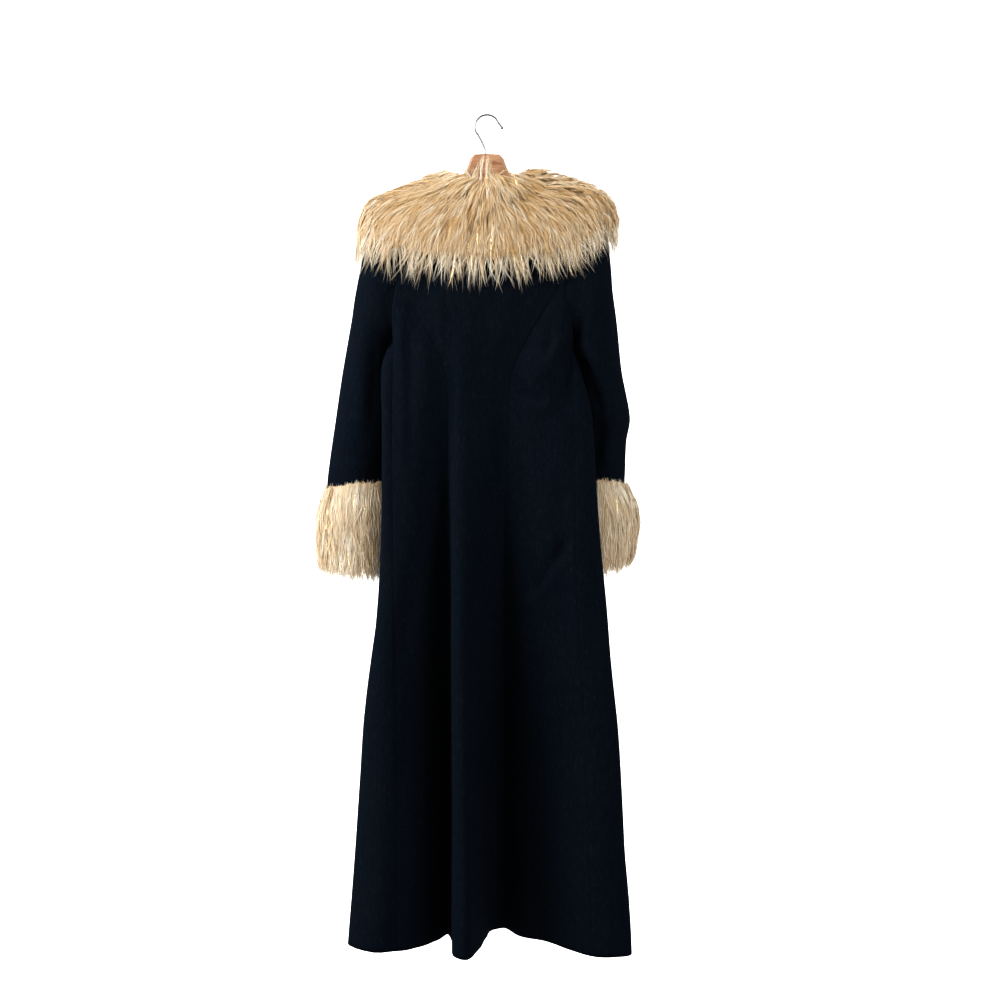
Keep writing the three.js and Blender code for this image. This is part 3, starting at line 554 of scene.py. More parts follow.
def panel(first, last, top=None, top_columns=None):
    """The cloth between two lines of the ring, with its part above the ring over some of its columns."""
    net = Net()
    columns = column_range(first, last)
    if top is None:
        return net.add(LOWER[:, columns]).done()
    inner = column_range(*top_columns)
    rest = [c for c in columns if c not in inner]
    net.add(np.concatenate([top[:-1], LOWER[:, inner]]))
    if rest and rest[0] > inner[-1]:
        net.add(LOWER[:, [inner[-1], *rest]])
    elif rest:
        net.add(LOWER[:, [*rest, inner[0]]])
    return net.done()


# The cloth: panels between the seam lines of the ring, and the sleeves

nets = {
    "back_center": panel(LEFT_PRINCESS, RIGHT_PRINCESS, BACK_TOP, (LEFT_PRINCESS, RIGHT_PRINCESS)),
    "back_side_left": panel(LEFT_SIDE, LEFT_PRINCESS),
    "back_side_right": panel(RIGHT_PRINCESS, RIGHT_SIDE),
    "front_left": panel(0, LEFT_SIDE, LEFT_TOP, (0, LEFT_ARM)),
    "front_right": panel(RIGHT_SIDE, LAST, RIGHT_TOP, (RIGHT_ARM, LAST)),
}
sleeves = {
    "sleeve_left": Net().add(sleeve(LEFT_SLEEVE, *LEFT_LOOP, LEFT_SLEEVE_STEPS, 1)).done(),
    "sleeve_right": Net().add(sleeve(RIGHT_SLEEVE, *RIGHT_LOOP, RIGHT_SLEEVE_STEPS, -1)).done(),
}


def fold_in(group, piece_of):
    """Adds the creases to a group of nets, apart from at the armholes, and returns their normals."""
    normals = shared_normals(list(group.values()))
    armholes = np.concatenate([LEFT_LOOP[0], RIGHT_LOOP[0]])
    for (name, net), normal in zip(group.items(), normals):
        still = smooth(distance_to(net.points, armholes, ARMHOLE_STILL) / ARMHOLE_STILL)
        net.points = net.points + normal * (still * crease_lift(net.points, normal, piece_of(name)))[:, None]
    return dict(zip(group, shared_normals(list(group.values()))))


cloth_normals = fold_in(nets, lambda name: "body")
for name, net in sleeves.items():
    cloth_normals.update(fold_in({name: net}, lambda name: name.split("_")[1]))


# Fur

COLLAR_STEPS = (14, 14, 14)
COLLAR_SIDE_STEPS = (10,) * 14
COLLAR_DOWN = 44
COLLAR_REACH = (15, 15, 10, 4)
COLLAR_REACH_AT = (0, 0.36, 0.68, 1)
COLLAR_PARTS = (("left", -1, 50), ("back", 50, 90), ("right", 90, 999))
LAY_FROM = 60
LAY_BELOW = 25
LAY_BLURS = 14
SKIN_SHARE = 0.64
SKIN_OFF = 2.6
SKIN_HALF = 0.75

# Places on the collar: columns from its left front edge, and for the lean one also its share down the rows
FULL_AT = 98
LEAN_AT = 43
LEAN_SHARE = 0.4
SHORT_AT = 101
LEFT_SHORT_AT = 38

COLLAR_GUIDES = 2000
FRINGE_GUIDES = 1260
FRINGE_FROM = 0.42
FRINGE_DROP = 38
RUFF_GUIDES = 160
RUFF_HALF = 26
RUFF_AT = (0, 6, 10, 16, 22, 28, 60)
RUFF_RISE = (3.4, 3.2, 3, 3, 2.8, 2.5, 2)
SPLAY = 1.5
SPLAY_ROWS = 16
SPLAY_AT = (0, 8, 26, 44)

CUFF_ROWS = 26
CUFF_SKIN_ROWS = 20
CUFF_SIDES = 48
CUFF_OFF = 3.0
CUFF_WAVE = 0.38
CUFF_WAVY_ROWS = 8
CUFF_SLOPE = 0.1
CUFF_LEVEL = 18.5
CUFF_GUIDES = 700
CUFF_TOPS = 200
CUFF_ROOTS_TO = 0.7

GUIDE_STEPS = 12
RISE_SHARE = 0.55
HAIR_STEPS = 5
HAIR_AT = np.array([0, 0.16, 0.38, 0.62, 0.83, 1.0])
STRAY_SHARE = 0.12
TINSEL_SHARE = 0.02
TINSEL_WIDTH = 0.45
# The "root" colour is a darker beige of painted shade, for the foot of each rooted hair and for the skin
# between the locks
FUR_COLOURS = ("cream", "beige", "honey", "pale", "root", "tinsel")
ROOT_SHADE, TINSEL = FUR_COLOURS.index("root"), FUR_COLOURS.index("tinsel")

# How locks lie. "colours" are the shares of the first four colours
COLLAR_LOOK = {
    "lean": 0.14, "curl": 0.28, "fall": 0.55, "reach": (0.6, 1.05), "each": 19, "spread": 3.4, "width": 0.95,
    "drawn": (0.1, 0.7), "colours": (0.29, 0.45, 0.14, 0.12),
}
FRINGE_LOOK = {
    "lean": 0.2, "curl": 0.4, "fall": 0.5, "reach": (0.3, 1.1), "each": 6, "spread": 1.3, "width": 0.62,
    "drawn": (0.6, 1.0), "colours": (0.30, 0.12, 0.02, 0.56),
}
CUFF_LOOK = {
    "lean": 0.09, "curl": 0.16, "fall": 0.3, "reach": (0.78, 1.05), "each": 20, "spread": 3.3, "width": 0.9,
    "drawn": (0.05, 0.55), "colours": (0.44, 0.08, 0.02, 0.46),
}
TUFT_LOOK = {"drawn": (0.5, 0.9), "colours": (0.40, 0.18, 0.02, 0.40)}
# The wisps over the neck: three bends, the number of hairs, how far they spread and their width
TUFTS = (
    ([(36, 44, -142), (24, 47, -114), (7, 16, -73)], 20, 1.7, 0.7),
    ([(24, 45, -148), (17, 49, -112), (6, 15, -69)], 22, 1.6, 0.7),
    ([(13, 46, -150), (9, 51, -108), (5, 15, -67)], 22, 1.6, 0.7),
    ([(0, 46, -150), (1, 52, -108), (-2, 15, -69)], 22, 1.6, 0.7),
    ([(-13, 46, -148), (-3, 50, -110), (-4, 15, -70)], 22, 1.6, 0.7),
    ([(-27, 45, -141), (-11, 48, -116), (-5, 16, -74)], 20, 1.7, 0.7),
    ([(24, 44, -124), (36, 50, -106), (47, 50, -101)], 30, 1.6, 0.8),
    ([(-16, 44, -122), (-28, 52, -108), (-39, 54, -104)], 30, 1.6, 0.8),
    ([(-36, 46, -108), (-46, 64, -118), (-54, 74, -149)], 16, 0.6, 0.9),
)


def sample(field, u, v):
    """A grid's values at fractional columns u and rows v."""
    rows, columns = field.shape[:2]
    u = np.clip(u, 0, columns - 1)
    v = np.clip(v, 0, rows - 1)
    c = np.minimum(u.astype(int), columns - 2)
    r = np.minimum(v.astype(int), rows - 2)
    a = (u - c)[:, None]
    b = (v - r)[:, None]
    return (
        (field[r, c] * (1 - a) + field[r, c + 1] * a) * (1 - b)
        + (field[r + 1, c] * (1 - a) + field[r + 1, c + 1] * a) * b
    )


def unit(vectors):
    return vectors / np.maximum(np.linalg.norm(vectors, axis=-1, keepdims=True), 1e-9)


def cross_slopes(grid, closed):
    """Slopes across the columns. A closed grid's last column is its first one again."""
    if closed:
        ring = np.concatenate([grid[:, -2:-1], grid, grid[:, 1:2]], axis=1)
        return (ring[:, 2:] - ring[:, :-2]) / 2
    return np.gradient(grid, axis=1)


def even_rows(grid, count):
    """The same columns with their rows spread evenly along them."""
    steps = np.linalg.norm(np.diff(grid, axis=0), axis=-1)
    lengths = np.concatenate([np.zeros((1, grid.shape[1])), np.cumsum(steps, axis=0)])
    found = np.empty((count, grid.shape[1], 3))
    for c in range(grid.shape[1]):
        at = np.linspace(0, lengths[-1, c], count)
        for k in range(3):
            found[:, c, k] = np.interp(at, lengths[:, c], grid[:, c, k])
    return found


class Pelt:
    """A surface that fur grows on. Rows run the way the fur lies, and depth is the fur's reach."""

    def __init__(self, grid, depth, closed):
        self.grid, self.closed = grid, closed
        self.du = cross_slopes(grid, closed)
        self.dv = np.gradient(grid, axis=0)
        self.normal = unit(np.cross(self.dv, self.du))
        self.depth = np.broadcast_to(depth, grid.shape[:2])[:, :, None]

    def fold(self, u):
        return u % (self.grid.shape[1] - 1) if self.closed else u

    def roots(self, rng, count, low, high):
        """Random places between two shares of the rows, evenly by area."""
        rows = len(self.grid)
        area = np.linalg.norm(np.cross(self.du, self.dv), axis=-1)[:-1, :-1]
        share = (np.arange(rows - 1) + 0.5) / (rows - 1)
        area[(share < low) | (share > high)] = 0
        even = (np.arange(count) + rng.random(count)) / count
        cells = np.searchsorted(np.cumsum(area) / area.sum(), even).clip(max=area.size - 1)
        r, c = np.unravel_index(cells, area.shape)
        return c + rng.random(count), r + rng.random(count)

    def trace(self, u, v, length, lean, curl, fall, reach, wave, start):
        """Paths that start at the roots, follow the rows and sink towards straight down."""
        paths, normals, sides = [], [], []
        u, v = u.copy(), v.copy()
        last = self.grid.shape[0] - 1
        for k in range(GUIDE_STEPS + 1):
            share = k / GUIDE_STEPS
            w = self.fold(u)
            pu, pv = sample(self.du, w, v), sample(self.dv, w, v)
            n = unit(sample(self.normal, w, v))
            over = (v - np.clip(v, 0, last))[:, None]
            top = sample(self.depth, w, v)[:, 0]
            height = top * start + (reach - start) * top * smooth(share / RISE_SHARE) + 1
            side = unit(np.cross(n, pv))
            sway = wave[0] * share * np.sin(length * share * wave[1] + wave[2])
            paths.append(sample(self.grid, w, v) + over * pv + n * height[:, None] + side * sway[:, None])
            normals.append(n)
            sides.append(side)
            down = np.array([0, 0, -1.0]) + n * n[:, 2:]
            step = unit(unit(pv) + fall * share * down + side * (lean + curl * share)[:, None])
            step *= (length / GUIDE_STEPS)[:, None]
            uu, vv, uv = (pu * pu).sum(1), (pv * pv).sum(1), (pu * pv).sum(1)
            su, sv = (step * pu).sum(1), (step * pv).sum(1)
            bottom = np.maximum(uu * vv - uv * uv, 1e-6)
            u += (su * vv - sv * uv) / bottom
            v += (sv * uu - su * uv) / bottom
        return np.array(paths), np.array(normals), np.array(sides)


def along(paths, at):
    """Positions at shares `at` (steps, strands) of paths (steps, strands, 3)."""
    position = at * (len(paths) - 1)
    low = np.minimum(position.astype(int), len(paths) - 2)
    part = (position - low)[:, :, None]
    strand = np.arange(paths.shape[1])[None, :]
    return paths[low, strand] * (1 - part) + paths[low + 1, strand] * part


def hairs(rng, paths, normals, sides, look, rooted):
    """Hairs round each guide path, drawn together towards its tip.

    Returns their points, normals, half widths, turns and material slots.
    """
    count = paths.shape[1]
    owner = np.repeat(np.arange(count), look["each"])
    total = len(owner)
    at = np.minimum(HAIR_AT[:, None] * rng.uniform(0.7, 1.06, total), 1)
    centre = along(paths[:, owner], at)
    normal = unit(along(normals[:, owner], at))
    side = unit(along(sides[:, owner], at))
    tangent = unit(centre[1] - centre[0])
    stray = rng.random(total) < STRAY_SHARE
    shift = rng.normal(0, look["spread"], (2, total))
    share = HAIR_AT[:, None]
    loose = 1 - np.where(stray, 0.1, rng.uniform(*look["drawn"], total)) * smooth(share / 0.9)
    wave = rng.normal(0, 0.4, total) * np.sin(share * rng.uniform(6, 11, total) + rng.uniform(0, 6.3, total))
    drift = np.where(stray, rng.normal(0, 6, total), rng.normal(0, 1.2, total)) * share**1.5
    lift = (rng.normal(0, 1.0, total) + np.where(stray, rng.uniform(0, 3.5, total), 0)) * share
    points = (
        centre
        + side * (shift[0] * loose + wave + drift)[:, :, None]
        + tangent * (shift[1] * loose)[:, :, None]
        + normal * lift[:, :, None]
    )
    taper = np.interp(HAIR_AT, (0, 0.3, 0.7, 1), (0.8 if rooted else 0.15, 1, 0.75, 0.08))[:, None]
    half = taper * look["width"] * rng.uniform(0.5, 1.3, total) / 2
    turn = rng.normal(0, 0.45, total) + share * rng.normal(0, 0.4, total)
    shared = rng.choice(4, count, p=look["colours"])[owner]
    colour = np.where(rng.random(total) < 0.5, shared, rng.choice(4, total, p=look["colours"]))
    tinsel = rng.random(total) < TINSEL_SHARE
    colour = np.where(tinsel, TINSEL, colour)
    slots = np.repeat(colour[:, None], HAIR_STEPS, axis=1)
    # Painted shade: a rooted hair's first step takes the darker root colour
    if rooted:
        slots[:, 0] = np.where(tinsel, slots[:, 0], ROOT_SHADE)
    return points, normal, half * np.where(tinsel, TINSEL_WIDTH, 1), turn, slots


def ribbons(name, batches, materials):
    """One mesh of tapering ribbons, each ending in a point."""
    *fields, slots = zip(*batches)
    points, normal, half, turn = (np.concatenate(field, axis=1) for field in fields)
    total = points.shape[1]
    tangent = unit(np.gradient(points, axis=0))
    flat = unit(np.cross(tangent, normal))
    up = np.cross(flat, tangent)
    wide = flat * np.cos(turn)[:, :, None] + up * np.sin(turn)[:, :, None]
    left = points - wide * half[:, :, None]
    right = points + wide * half[:, :, None]
    rows = HAIR_STEPS
    verts = np.empty((total, 2 * rows + 1, 3))
    verts[:, 0:2 * rows:2] = left[:rows].transpose(1, 0, 2)
    verts[:, 1:2 * rows:2] = right[:rows].transpose(1, 0, 2)
    verts[:, -1] = points[rows]
    pattern = []
    for k in range(rows - 1):
        pattern += [2 * k, 2 * k + 1, 2 * k + 3, 2 * k + 2]
    pattern += [2 * rows - 2, 2 * rows - 1, 2 * rows]
    sizes = [4] * (rows - 1) + [3]
    loops = (np.array(pattern)[None] + (np.arange(total) * (2 * rows + 1))[:, None]).ravel()
    starts = np.concatenate([[0], np.cumsum(sizes)[:-1]])
    starts = (starts[None] + (np.arange(total) * len(pattern))[:, None]).ravel()
    mesh = bpy.data.meshes.new(name)
    mesh.vertices.add(verts.shape[0] * verts.shape[1])
    mesh.vertices.foreach_set("co", (verts * MM).ravel())
    mesh.loops.add(len(loops))
    mesh.loops.foreach_set("vertex_index", loops)
    mesh.polygons.add(len(starts))
    mesh.polygons.foreach_set("loop_start", starts)
    for material in materials:
        mesh.materials.append(material)
    mesh.polygons.foreach_set("material_index", np.concatenate(slots).ravel())
    mesh.polygons.foreach_set("use_smooth", np.ones(len(starts), bool))
    mesh.update(calc_edges=True)
    piece = root_piece(name, mesh)
    return piece


# Materials


def node_material(name):
    material = bpy.data.materials.new(name)
    material.use_nodes = True
    return material, material.node_tree, material.node_tree.nodes["Principled BSDF"]


def set_inputs(tree, node, values):
    """Sets a node's inputs. A value that is another node's output is linked."""
    for key, value in values.items():
        if isinstance(value, bpy.types.NodeSocket):
            tree.links.new(value, node.inputs[key])
        else:
            node.inputs[key].default_value = value


def add_node(tree, kind, values=None, **settings):
    node = tree.nodes.new(f"ShaderNode{kind}")
    for key, value in settings.items():
        setattr(node, key, value)
    set_inputs(tree, node, values or {})
    return node


def ramp(tree, source, stops):
    """Colours between stops, picked by a value."""
    node = add_node(tree, "ValToRGB", {"Fac": source})
    elements = node.color_ramp.elements
    while len(elements) < len(stops):
        elements.new(0.5)
    for element, (position, colour) in zip(elements, stops):
        element.position = position
        element.color = (*colour, 1)
    return node.outputs["Color"]


def noise(tree, scale, detail, stretch=(1, 1, 1), roughness=0.5, distortion=0):
    """Noise in object space, drawn out along the axes whose stretch is below 1."""
    place = add_node(tree, "TexCoord").outputs["Object"]
    return add_node(tree, "TexNoise", {
        "Vector": add_node(tree, "Mapping", {"Vector": place, "Scale": stretch}).outputs["Vector"],
        "Scale": scale, "Detail": detail, "Roughness": roughness, "Distortion": distortion,
    }).outputs["Fac"]


def between(tree, source, low, high):
    return add_node(tree, "MapRange", {"Value": source, "To Min": low, "To Max": high}).outputs["Result"]


def cloth_material():
    """Brushed dark twill: fine diagonal ribs, a streaky nap with pale specks, and washed puckers."""
    material, tree, shader = node_material("brushed_twill")
    uv = add_node(tree, "UVMap", uv_map="cloth").outputs["UV"]
    turned = add_node(tree, "Mapping", {"Vector": uv, "Rotation": (0, 0, math.radians(-63))})
    ribs = add_node(tree, "TexWave", {
        "Vector": turned.outputs["Vector"], "Scale": 230, "Distortion": 1.2, "Detail": 2, "Detail Scale": 2,
    })
    streaks = noise(tree, 260, 5, (1, 1, 0.3), roughness=0.72)
    nap = noise(tree, 330, 4, roughness=0.8)
    half_streaks = add_node(tree, "Math", {0: streaks, 1: 0.55}, operation="MULTIPLY").outputs["Value"]
    worn = add_node(tree, "Math", {0: nap, 1: 0.45, 2: half_streaks}, operation="MULTIPLY_ADD")
    tone = ramp(tree, worn.outputs["Value"], [
        (0.34, (0.0060, 0.0100, 0.0162)),
        (0.54, (0.0090, 0.0138, 0.0212)),
        (0.66, (0.0185, 0.0235, 0.0290)),
    ])
    cast = ramp(tree, noise(tree, 6, 4), [(0.35, (0.9, 0.94, 1.0)), (0.65, (1.06, 1.02, 1.0))])
    mixed = add_node(tree, "Mix", {"Factor": 1.0}, data_type="RGBA", blend_type="MULTIPLY")
    set_inputs(tree, mixed, {"A": tone, "B": cast})
    height = add_node(tree, "Math", {0: ribs.outputs["Fac"], 1: 0.5, 2: nap}, operation="MULTIPLY_ADD")
    fine = add_node(tree, "Bump", {"Strength": 0.4, "Distance": 0.0004, "Height": height.outputs["Value"]})
    puckers = noise(tree, 75, 4, (1, 1, 0.22), roughness=0.6)
    soft = add_node(tree, "Bump", {
        "Strength": 0.55, "Distance": 0.0022, "Height": puckers, "Normal": fine.outputs["Normal"],
    })
    set_inputs(tree, shader, {
        "Base Color": mixed.outputs["Result"], "Roughness": 0.85, "Specular IOR Level": 0.03,
        "Sheen Weight": 0.015, "Sheen Roughness": 0.5, "Sheen Tint": (0.55, 0.7, 1, 1),
        "Normal": soft.outputs["Normal"],
    })
    return material


def fur_material(name, colour, roughness, metallic=0.0):
    """One shade of hair, with a fine grain in its gloss."""
    material, tree, shader = node_material(f"fur_{name}")
    set_inputs(tree, shader, {
        "Base Color": (*colour, 1), "Metallic": metallic, "Specular IOR Level": 0.25,
        "Roughness": between(tree, noise(tree, 260, 2), roughness - 0.1, roughness + 0.1),
    })
    return material


def wood_material():
    material, tree, shader = node_material("varnished_wood")
    grain = noise(tree, 18, 8, (1, 4, 9), roughness=0.65, distortion=0.6)
    relief = add_node(tree, "Bump", {"Strength": 0.2, "Distance": 0.0003, "Height": grain})
    tone = ramp(tree, grain, [
        (0.3, (0.26, 0.12, 0.062)),
        (0.5, (0.48, 0.27, 0.155)),
        (0.72, (0.64, 0.42, 0.27)),
    ])
    set_inputs(tree, shader, {
        "Base Color": tone, "Roughness": between(tree, grain, 0.3, 0.5), "Specular IOR Level": 0.5,
        "Coat Weight": 0.25, "Coat Roughness": 0.2, "Normal": relief.outputs["Normal"],
    })
    return material


def chrome_material():
    material, tree, shader = node_material("chrome_wire")
    set_inputs(tree, shader, {
        "Base Color": (0.25, 0.25, 0.25, 1), "Metallic": 1.0,
        "Roughness": between(tree, noise(tree, 150, 3), 0.38, 0.5),
    })
    return material


twill = cloth_material()
fur_materials = [
    fur_material("cream", (0.81, 0.665, 0.47), 0.55),
    fur_material("beige", (0.73, 0.55, 0.34), 0.55),
    fur_material("honey", (0.64, 0.43, 0.19), 0.55),
    fur_material("pale", (0.90, 0.83, 0.70), 0.5),
    # "root" is painted shade: a darker beige for the hairs' feet and the skin
    fur_material("root", (0.65, 0.50, 0.33), 0.7),
    fur_material("tinsel", (1.0, 0.8, 0.42), 0.2, metallic=1.0),
]


# Where a panel's rim is not a seam
HEM_REACH = 5
LAP_X, LAP_Y = 25, -60
NECK_X, NECK_Z = 75, -260
WRIST_X, WRIST_LOW, WRIST_HIGH = 146, -640, -612


def is_sewn(point):
    """Whether a point of a panel's rim is on a seam, and not on the hem, a front edge or the neck edge."""
    x, y, z = point
    at_hem = z < HEM_Z + HEM_REACH
    at_lap = abs(x) < LAP_X and y < LAP_Y
    at_neck = abs(x) < NECK_X and z > NECK_Z
    at_wrist = WRIST_LOW < z < WRIST_HIGH and abs(x) > WRIST_X
    return not (at_hem or at_lap or at_neck or at_wrist)


def cut(name):
    """One cloth piece as a shell, in place of its CAD node."""
    net = {**nets, **sleeves}[name]
    rim = sorted({i for edge in net.rim for i in edge})
    sewn = [net.points[i] for i in rim if is_sewn(net.points[i])]
    piece = cloth_shell(f"{name}_cloth", net, cloth_normals[name], sewn, twill)
    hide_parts(name)


cut("back_center")
cut("back_side_left")
cut("back_side_right")
cut("front_left")
cut("front_right")
cut("sleeve_left")
cut("sleeve_right")


# The collar's and the cuffs' skins, and the fur on them


def collar_lines():
    """The collar's outer surface, all the way round, in evenly spaced rows."""
    rows = ("neck", "near", "far", "edge")
    left = [corners(entry, rows) for entry in COLLAR]
    right = [[(-x, y, z) for x, y, z in column] for column in left[-2::-1]]
    lines = curve(np.array(left + right).transpose(1, 0, 2), stretches(COLLAR_STEPS))
    grid = curve(lines.transpose(1, 0, 2), stretches(COLLAR_SIDE_STEPS))
    return even_rows(grid.transpose(1, 0, 2), COLLAR_DOWN)


def blurred(field, passes):
    for _ in range(passes):
        wide = np.pad(field, 1, mode="edge")
        field = (wide[:-2, 1:-1] + wide[2:, 1:-1] + wide[1:-1, :-2] + wide[1:-1, 2:] + 4 * field) / 8
    return field


def highest(field):
    """Each value raised to the highest one beside it."""
    wide = np.pad(field, 1, mode="edge")
    rows, columns = field.shape
    return np.max([wide[r:r + rows, c:c + columns] for r in range(3) for c in range(3)], axis=0)


def laid(grid):
    """The collar's lines moved onto the cloth, with room for the skin."""
    points, faces, start = [], [], 0
    for name, net in {**nets, **sleeves}.items():
        points.append(net.points + cloth_normals[name] * HALF_CLOTH)
        faces += [tuple(int(i) + start for i in dict.fromkeys(quad.tolist())) for quad in net.quads]
        start += len(net.points)
    cloth = BVHTree.FromPolygons(np.concatenate(points).tolist(), faces)
    du, dv = np.gradient(grid, axis=1), np.gradient(grid, axis=0)
    normals = unit(np.cross(dv, du))
    off = np.zeros(grid.shape[:2])
    for r, c in np.ndindex(off.shape):
        from_point = grid[r, c] + normals[r, c] * LAY_FROM
        _, _, _, distance = cloth.ray_cast(Vector(from_point), Vector(-normals[r, c]), LAY_FROM + LAY_BELOW)
        off[r, c] = LAY_FROM - distance + SKIN_OFF if distance is not None else 0
    off = blurred(highest(highest(off)), LAY_BLURS)
    return grid + normals * off[:, :, None]


def skin(node, grid):
    """The backing that the fur grows on. It takes the CAD node's place."""
    net = Net().add(grid).done()
    (normals,) = shared_normals([net])
    # The skin takes the root's painted shade as its colour
    base = cloth_shell(f"{node}_skin", net, normals * SKIN_HALF, [], fur_materials[ROOT_SHADE])
    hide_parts(node)


def cuff_pelt(rows, sleeve_rows, side):
    """The tube the cuff's fur grows on, and how far the fur reaches from it."""
    last = sleeve_rows[-1]
    tube, reach = [], []
    for at in np.linspace(0, len(rows) - 1, CUFF_ROWS):
        i = min(int(at), len(rows) - 2)
        row = {key: rows[i][key] + (rows[i + 1][key] - rows[i][key]) * (at - i) for key in rows[0]}
        body = {
            "outerX": last["outerX"] + CUFF_OFF, "innerX": last["innerX"] - CUFF_OFF,
            "middleY": last["middleY"], "halfY": last["halfY"] + CUFF_OFF,
            "outerZ": row["z"], "innerZ": row["z"],
        }
        section = sleeve_section(body, side, np.arange(CUFF_SIDES) / CUFF_SIDES * 2 * math.pi)
        if side < 0:
            section = np.concatenate([section[:1], section[:0:-1]])
        around = section[:, 0] * CUFF_WAVE
        uneven = 1.6 * np.sin(around) + 1.2 * np.sin(1.9 * around + 1)
        level = CUFF_LEVEL - np.abs(section[:, 0]) * CUFF_SLOPE
        section[:, 2] += (uneven + level) * max(0, 1 - len(tube) / CUFF_WAVY_ROWS)
        tube.append(np.concatenate([section, section[:1]]))
        side_share = 2 * (side * tube[-1][:, 0] - body["innerX"]) / (body["outerX"] - body["innerX"]) - 1
        sideways = np.where(side_share > 0, row["outerX"] - body["outerX"], body["innerX"] - row["innerX"])
        deep = row["halfY"] - body["halfY"]
        reach.append(sideways * side_share**2 + deep * (1 - side_share**2))
    return Pelt(np.array(tube), np.array(reach), closed=True)


def splay(pelt, u, v):
    """How much the locks under the neck spread to both sides before they fall."""
    off = u - (pelt.grid.shape[1] - 1) / 2
    amount = np.interp(np.abs(off), SPLAY_AT, (0, 1, 1, 0))
    return SPLAY * np.sign(off) * amount * np.clip(1 - v / SPLAY_ROWS, 0, 1)


def grow(pelt, rng, roots, length, look, start=0.06, rooted=True):
    """Locks of hair from the roots down the pelt."""
    u, v = roots
    count = len(u)
    spread = np.zeros(count) if pelt.closed else splay(pelt, u, v)
    flow = np.sin(u * 0.35 + 1.3 * np.sin(v * 0.21)) + 0.6 * np.sin(u * 1.1 + v * 0.13)
    paths, normals, sides = pelt.trace(
        u, v, length,
        lean=look["lean"] * (rng.normal(0, 1, count) + flow) + spread,
        curl=look["curl"] * (rng.normal(0, 1, count) - flow) - 0.8 * spread,
        fall=look["fall"],
        reach=rng.uniform(*look["reach"], count),
        wave=(
            rng.uniform(0.4, 2.0, count),
            2 * math.pi / rng.uniform(26, 44, count),
            rng.uniform(0, 6.3, count),
        ),
        start=start,
    )
    return hairs(rng, paths, normals, sides, look, rooted)


def tuft(rng, bends, count, spread, width):
    """A lock of hairs along a smooth line through the bends."""
    at = np.linspace(0, len(bends) - 1, GUIDE_STEPS + 1)
    paths = curve(np.array(bends, float)[:, None], at)
    back = np.broadcast_to((0, 1.0, 0), paths.shape)
    side = np.broadcast_to((1.0, 0, 0), paths.shape)
    look = {**TUFT_LOOK, "each": count, "spread": spread, "width": width}
    return hairs(rng, paths, back, side, look, rooted=False)


def collar_pelt(grid):
    """The collar as a pelt, fuller over the right shoulder and leaner on the left."""
    rows = np.linspace(0, 1, COLLAR_DOWN)
    columns = np.arange(grid.shape[1])
    fuller = 1 + 0.4 * bump(columns, FULL_AT, 7)
    leaner = 1 - 0.75 * bump(columns, LEAN_AT, 9) * bump(rows[:, None], LEAN_SHARE, 0.26)
    reach = np.interp(rows, COLLAR_REACH_AT, COLLAR_REACH)[:, None]
    return Pelt(grid, reach * fuller * leaner, closed=False)


def grow_collar():
    """The collar's skin and its fur, in three pieces."""
    grid = laid(collar_lines())
    pelt = collar_pelt(grid)
    last = COLLAR_DOWN - 1
    middle = (grid.shape[1] - 1) / 2
    rng = np.random.default_rng(SEED)

    def below(u, v):
        """How far the collar goes on below the roots. It is short over the right shoulder."""
        uneven = 1 - 0.36 * bump(u, SHORT_AT, 12) - 0.1 * bump(u, LEFT_SHORT_AT, 9)
        return (last - v) * np.linalg.norm(sample(pelt.dv, u, v), axis=1) * uneven

    u, v = pelt.roots(rng, COLLAR_GUIDES, 0, SKIN_SHARE)
    room = (below(u, v) - FRINGE_DROP) * rng.uniform(0.7, 1.12, len(u))
    length = np.minimum(rng.normal(70, 12, len(u)).clip(42, 100), room).clip(18)
    tip_u, tip_v = pelt.roots(rng, FRINGE_GUIDES, FRINGE_FROM, SKIN_SHARE)
    tip_length = below(tip_u, tip_v) * rng.uniform(0.72, 1.26, len(tip_u))
    over = np.concatenate([
        rng.uniform(0, 2 * middle, RUFF_GUIDES),
        middle + rng.uniform(-RUFF_HALF, RUFF_HALF, RUFF_GUIDES),
    ])
    top = rng.uniform(-np.interp(np.abs(over - middle), RUFF_AT, RUFF_RISE), 1.5)
    for name, low, high in COLLAR_PARTS:
        mine = (u >= low) & (u < high)
        tips = (tip_u >= low) & (tip_u < high)
        ruff = (over >= low) & (over < high)
        count = ruff.sum()
        start = rng.uniform(0.3, 0.9, count)
        batches = [
            grow(pelt, rng, (u[mine], v[mine]), length[mine], COLLAR_LOOK),
            grow(pelt, rng, (tip_u[tips], tip_v[tips]), tip_length[tips], FRINGE_LOOK),
            grow(pelt, rng, (over[ruff], top[ruff]), rng.uniform(38, 72, count), COLLAR_LOOK, start, False),
        ]
        if name == "back":
            batches += [tuft(rng, *entry) for entry in TUFTS]
        ribbons(f"collar_fur_{name}", batches, fur_materials)
    skin_rows = round(SKIN_SHARE * last) + 1
    skin("collar", grid[:skin_rows, ::2])


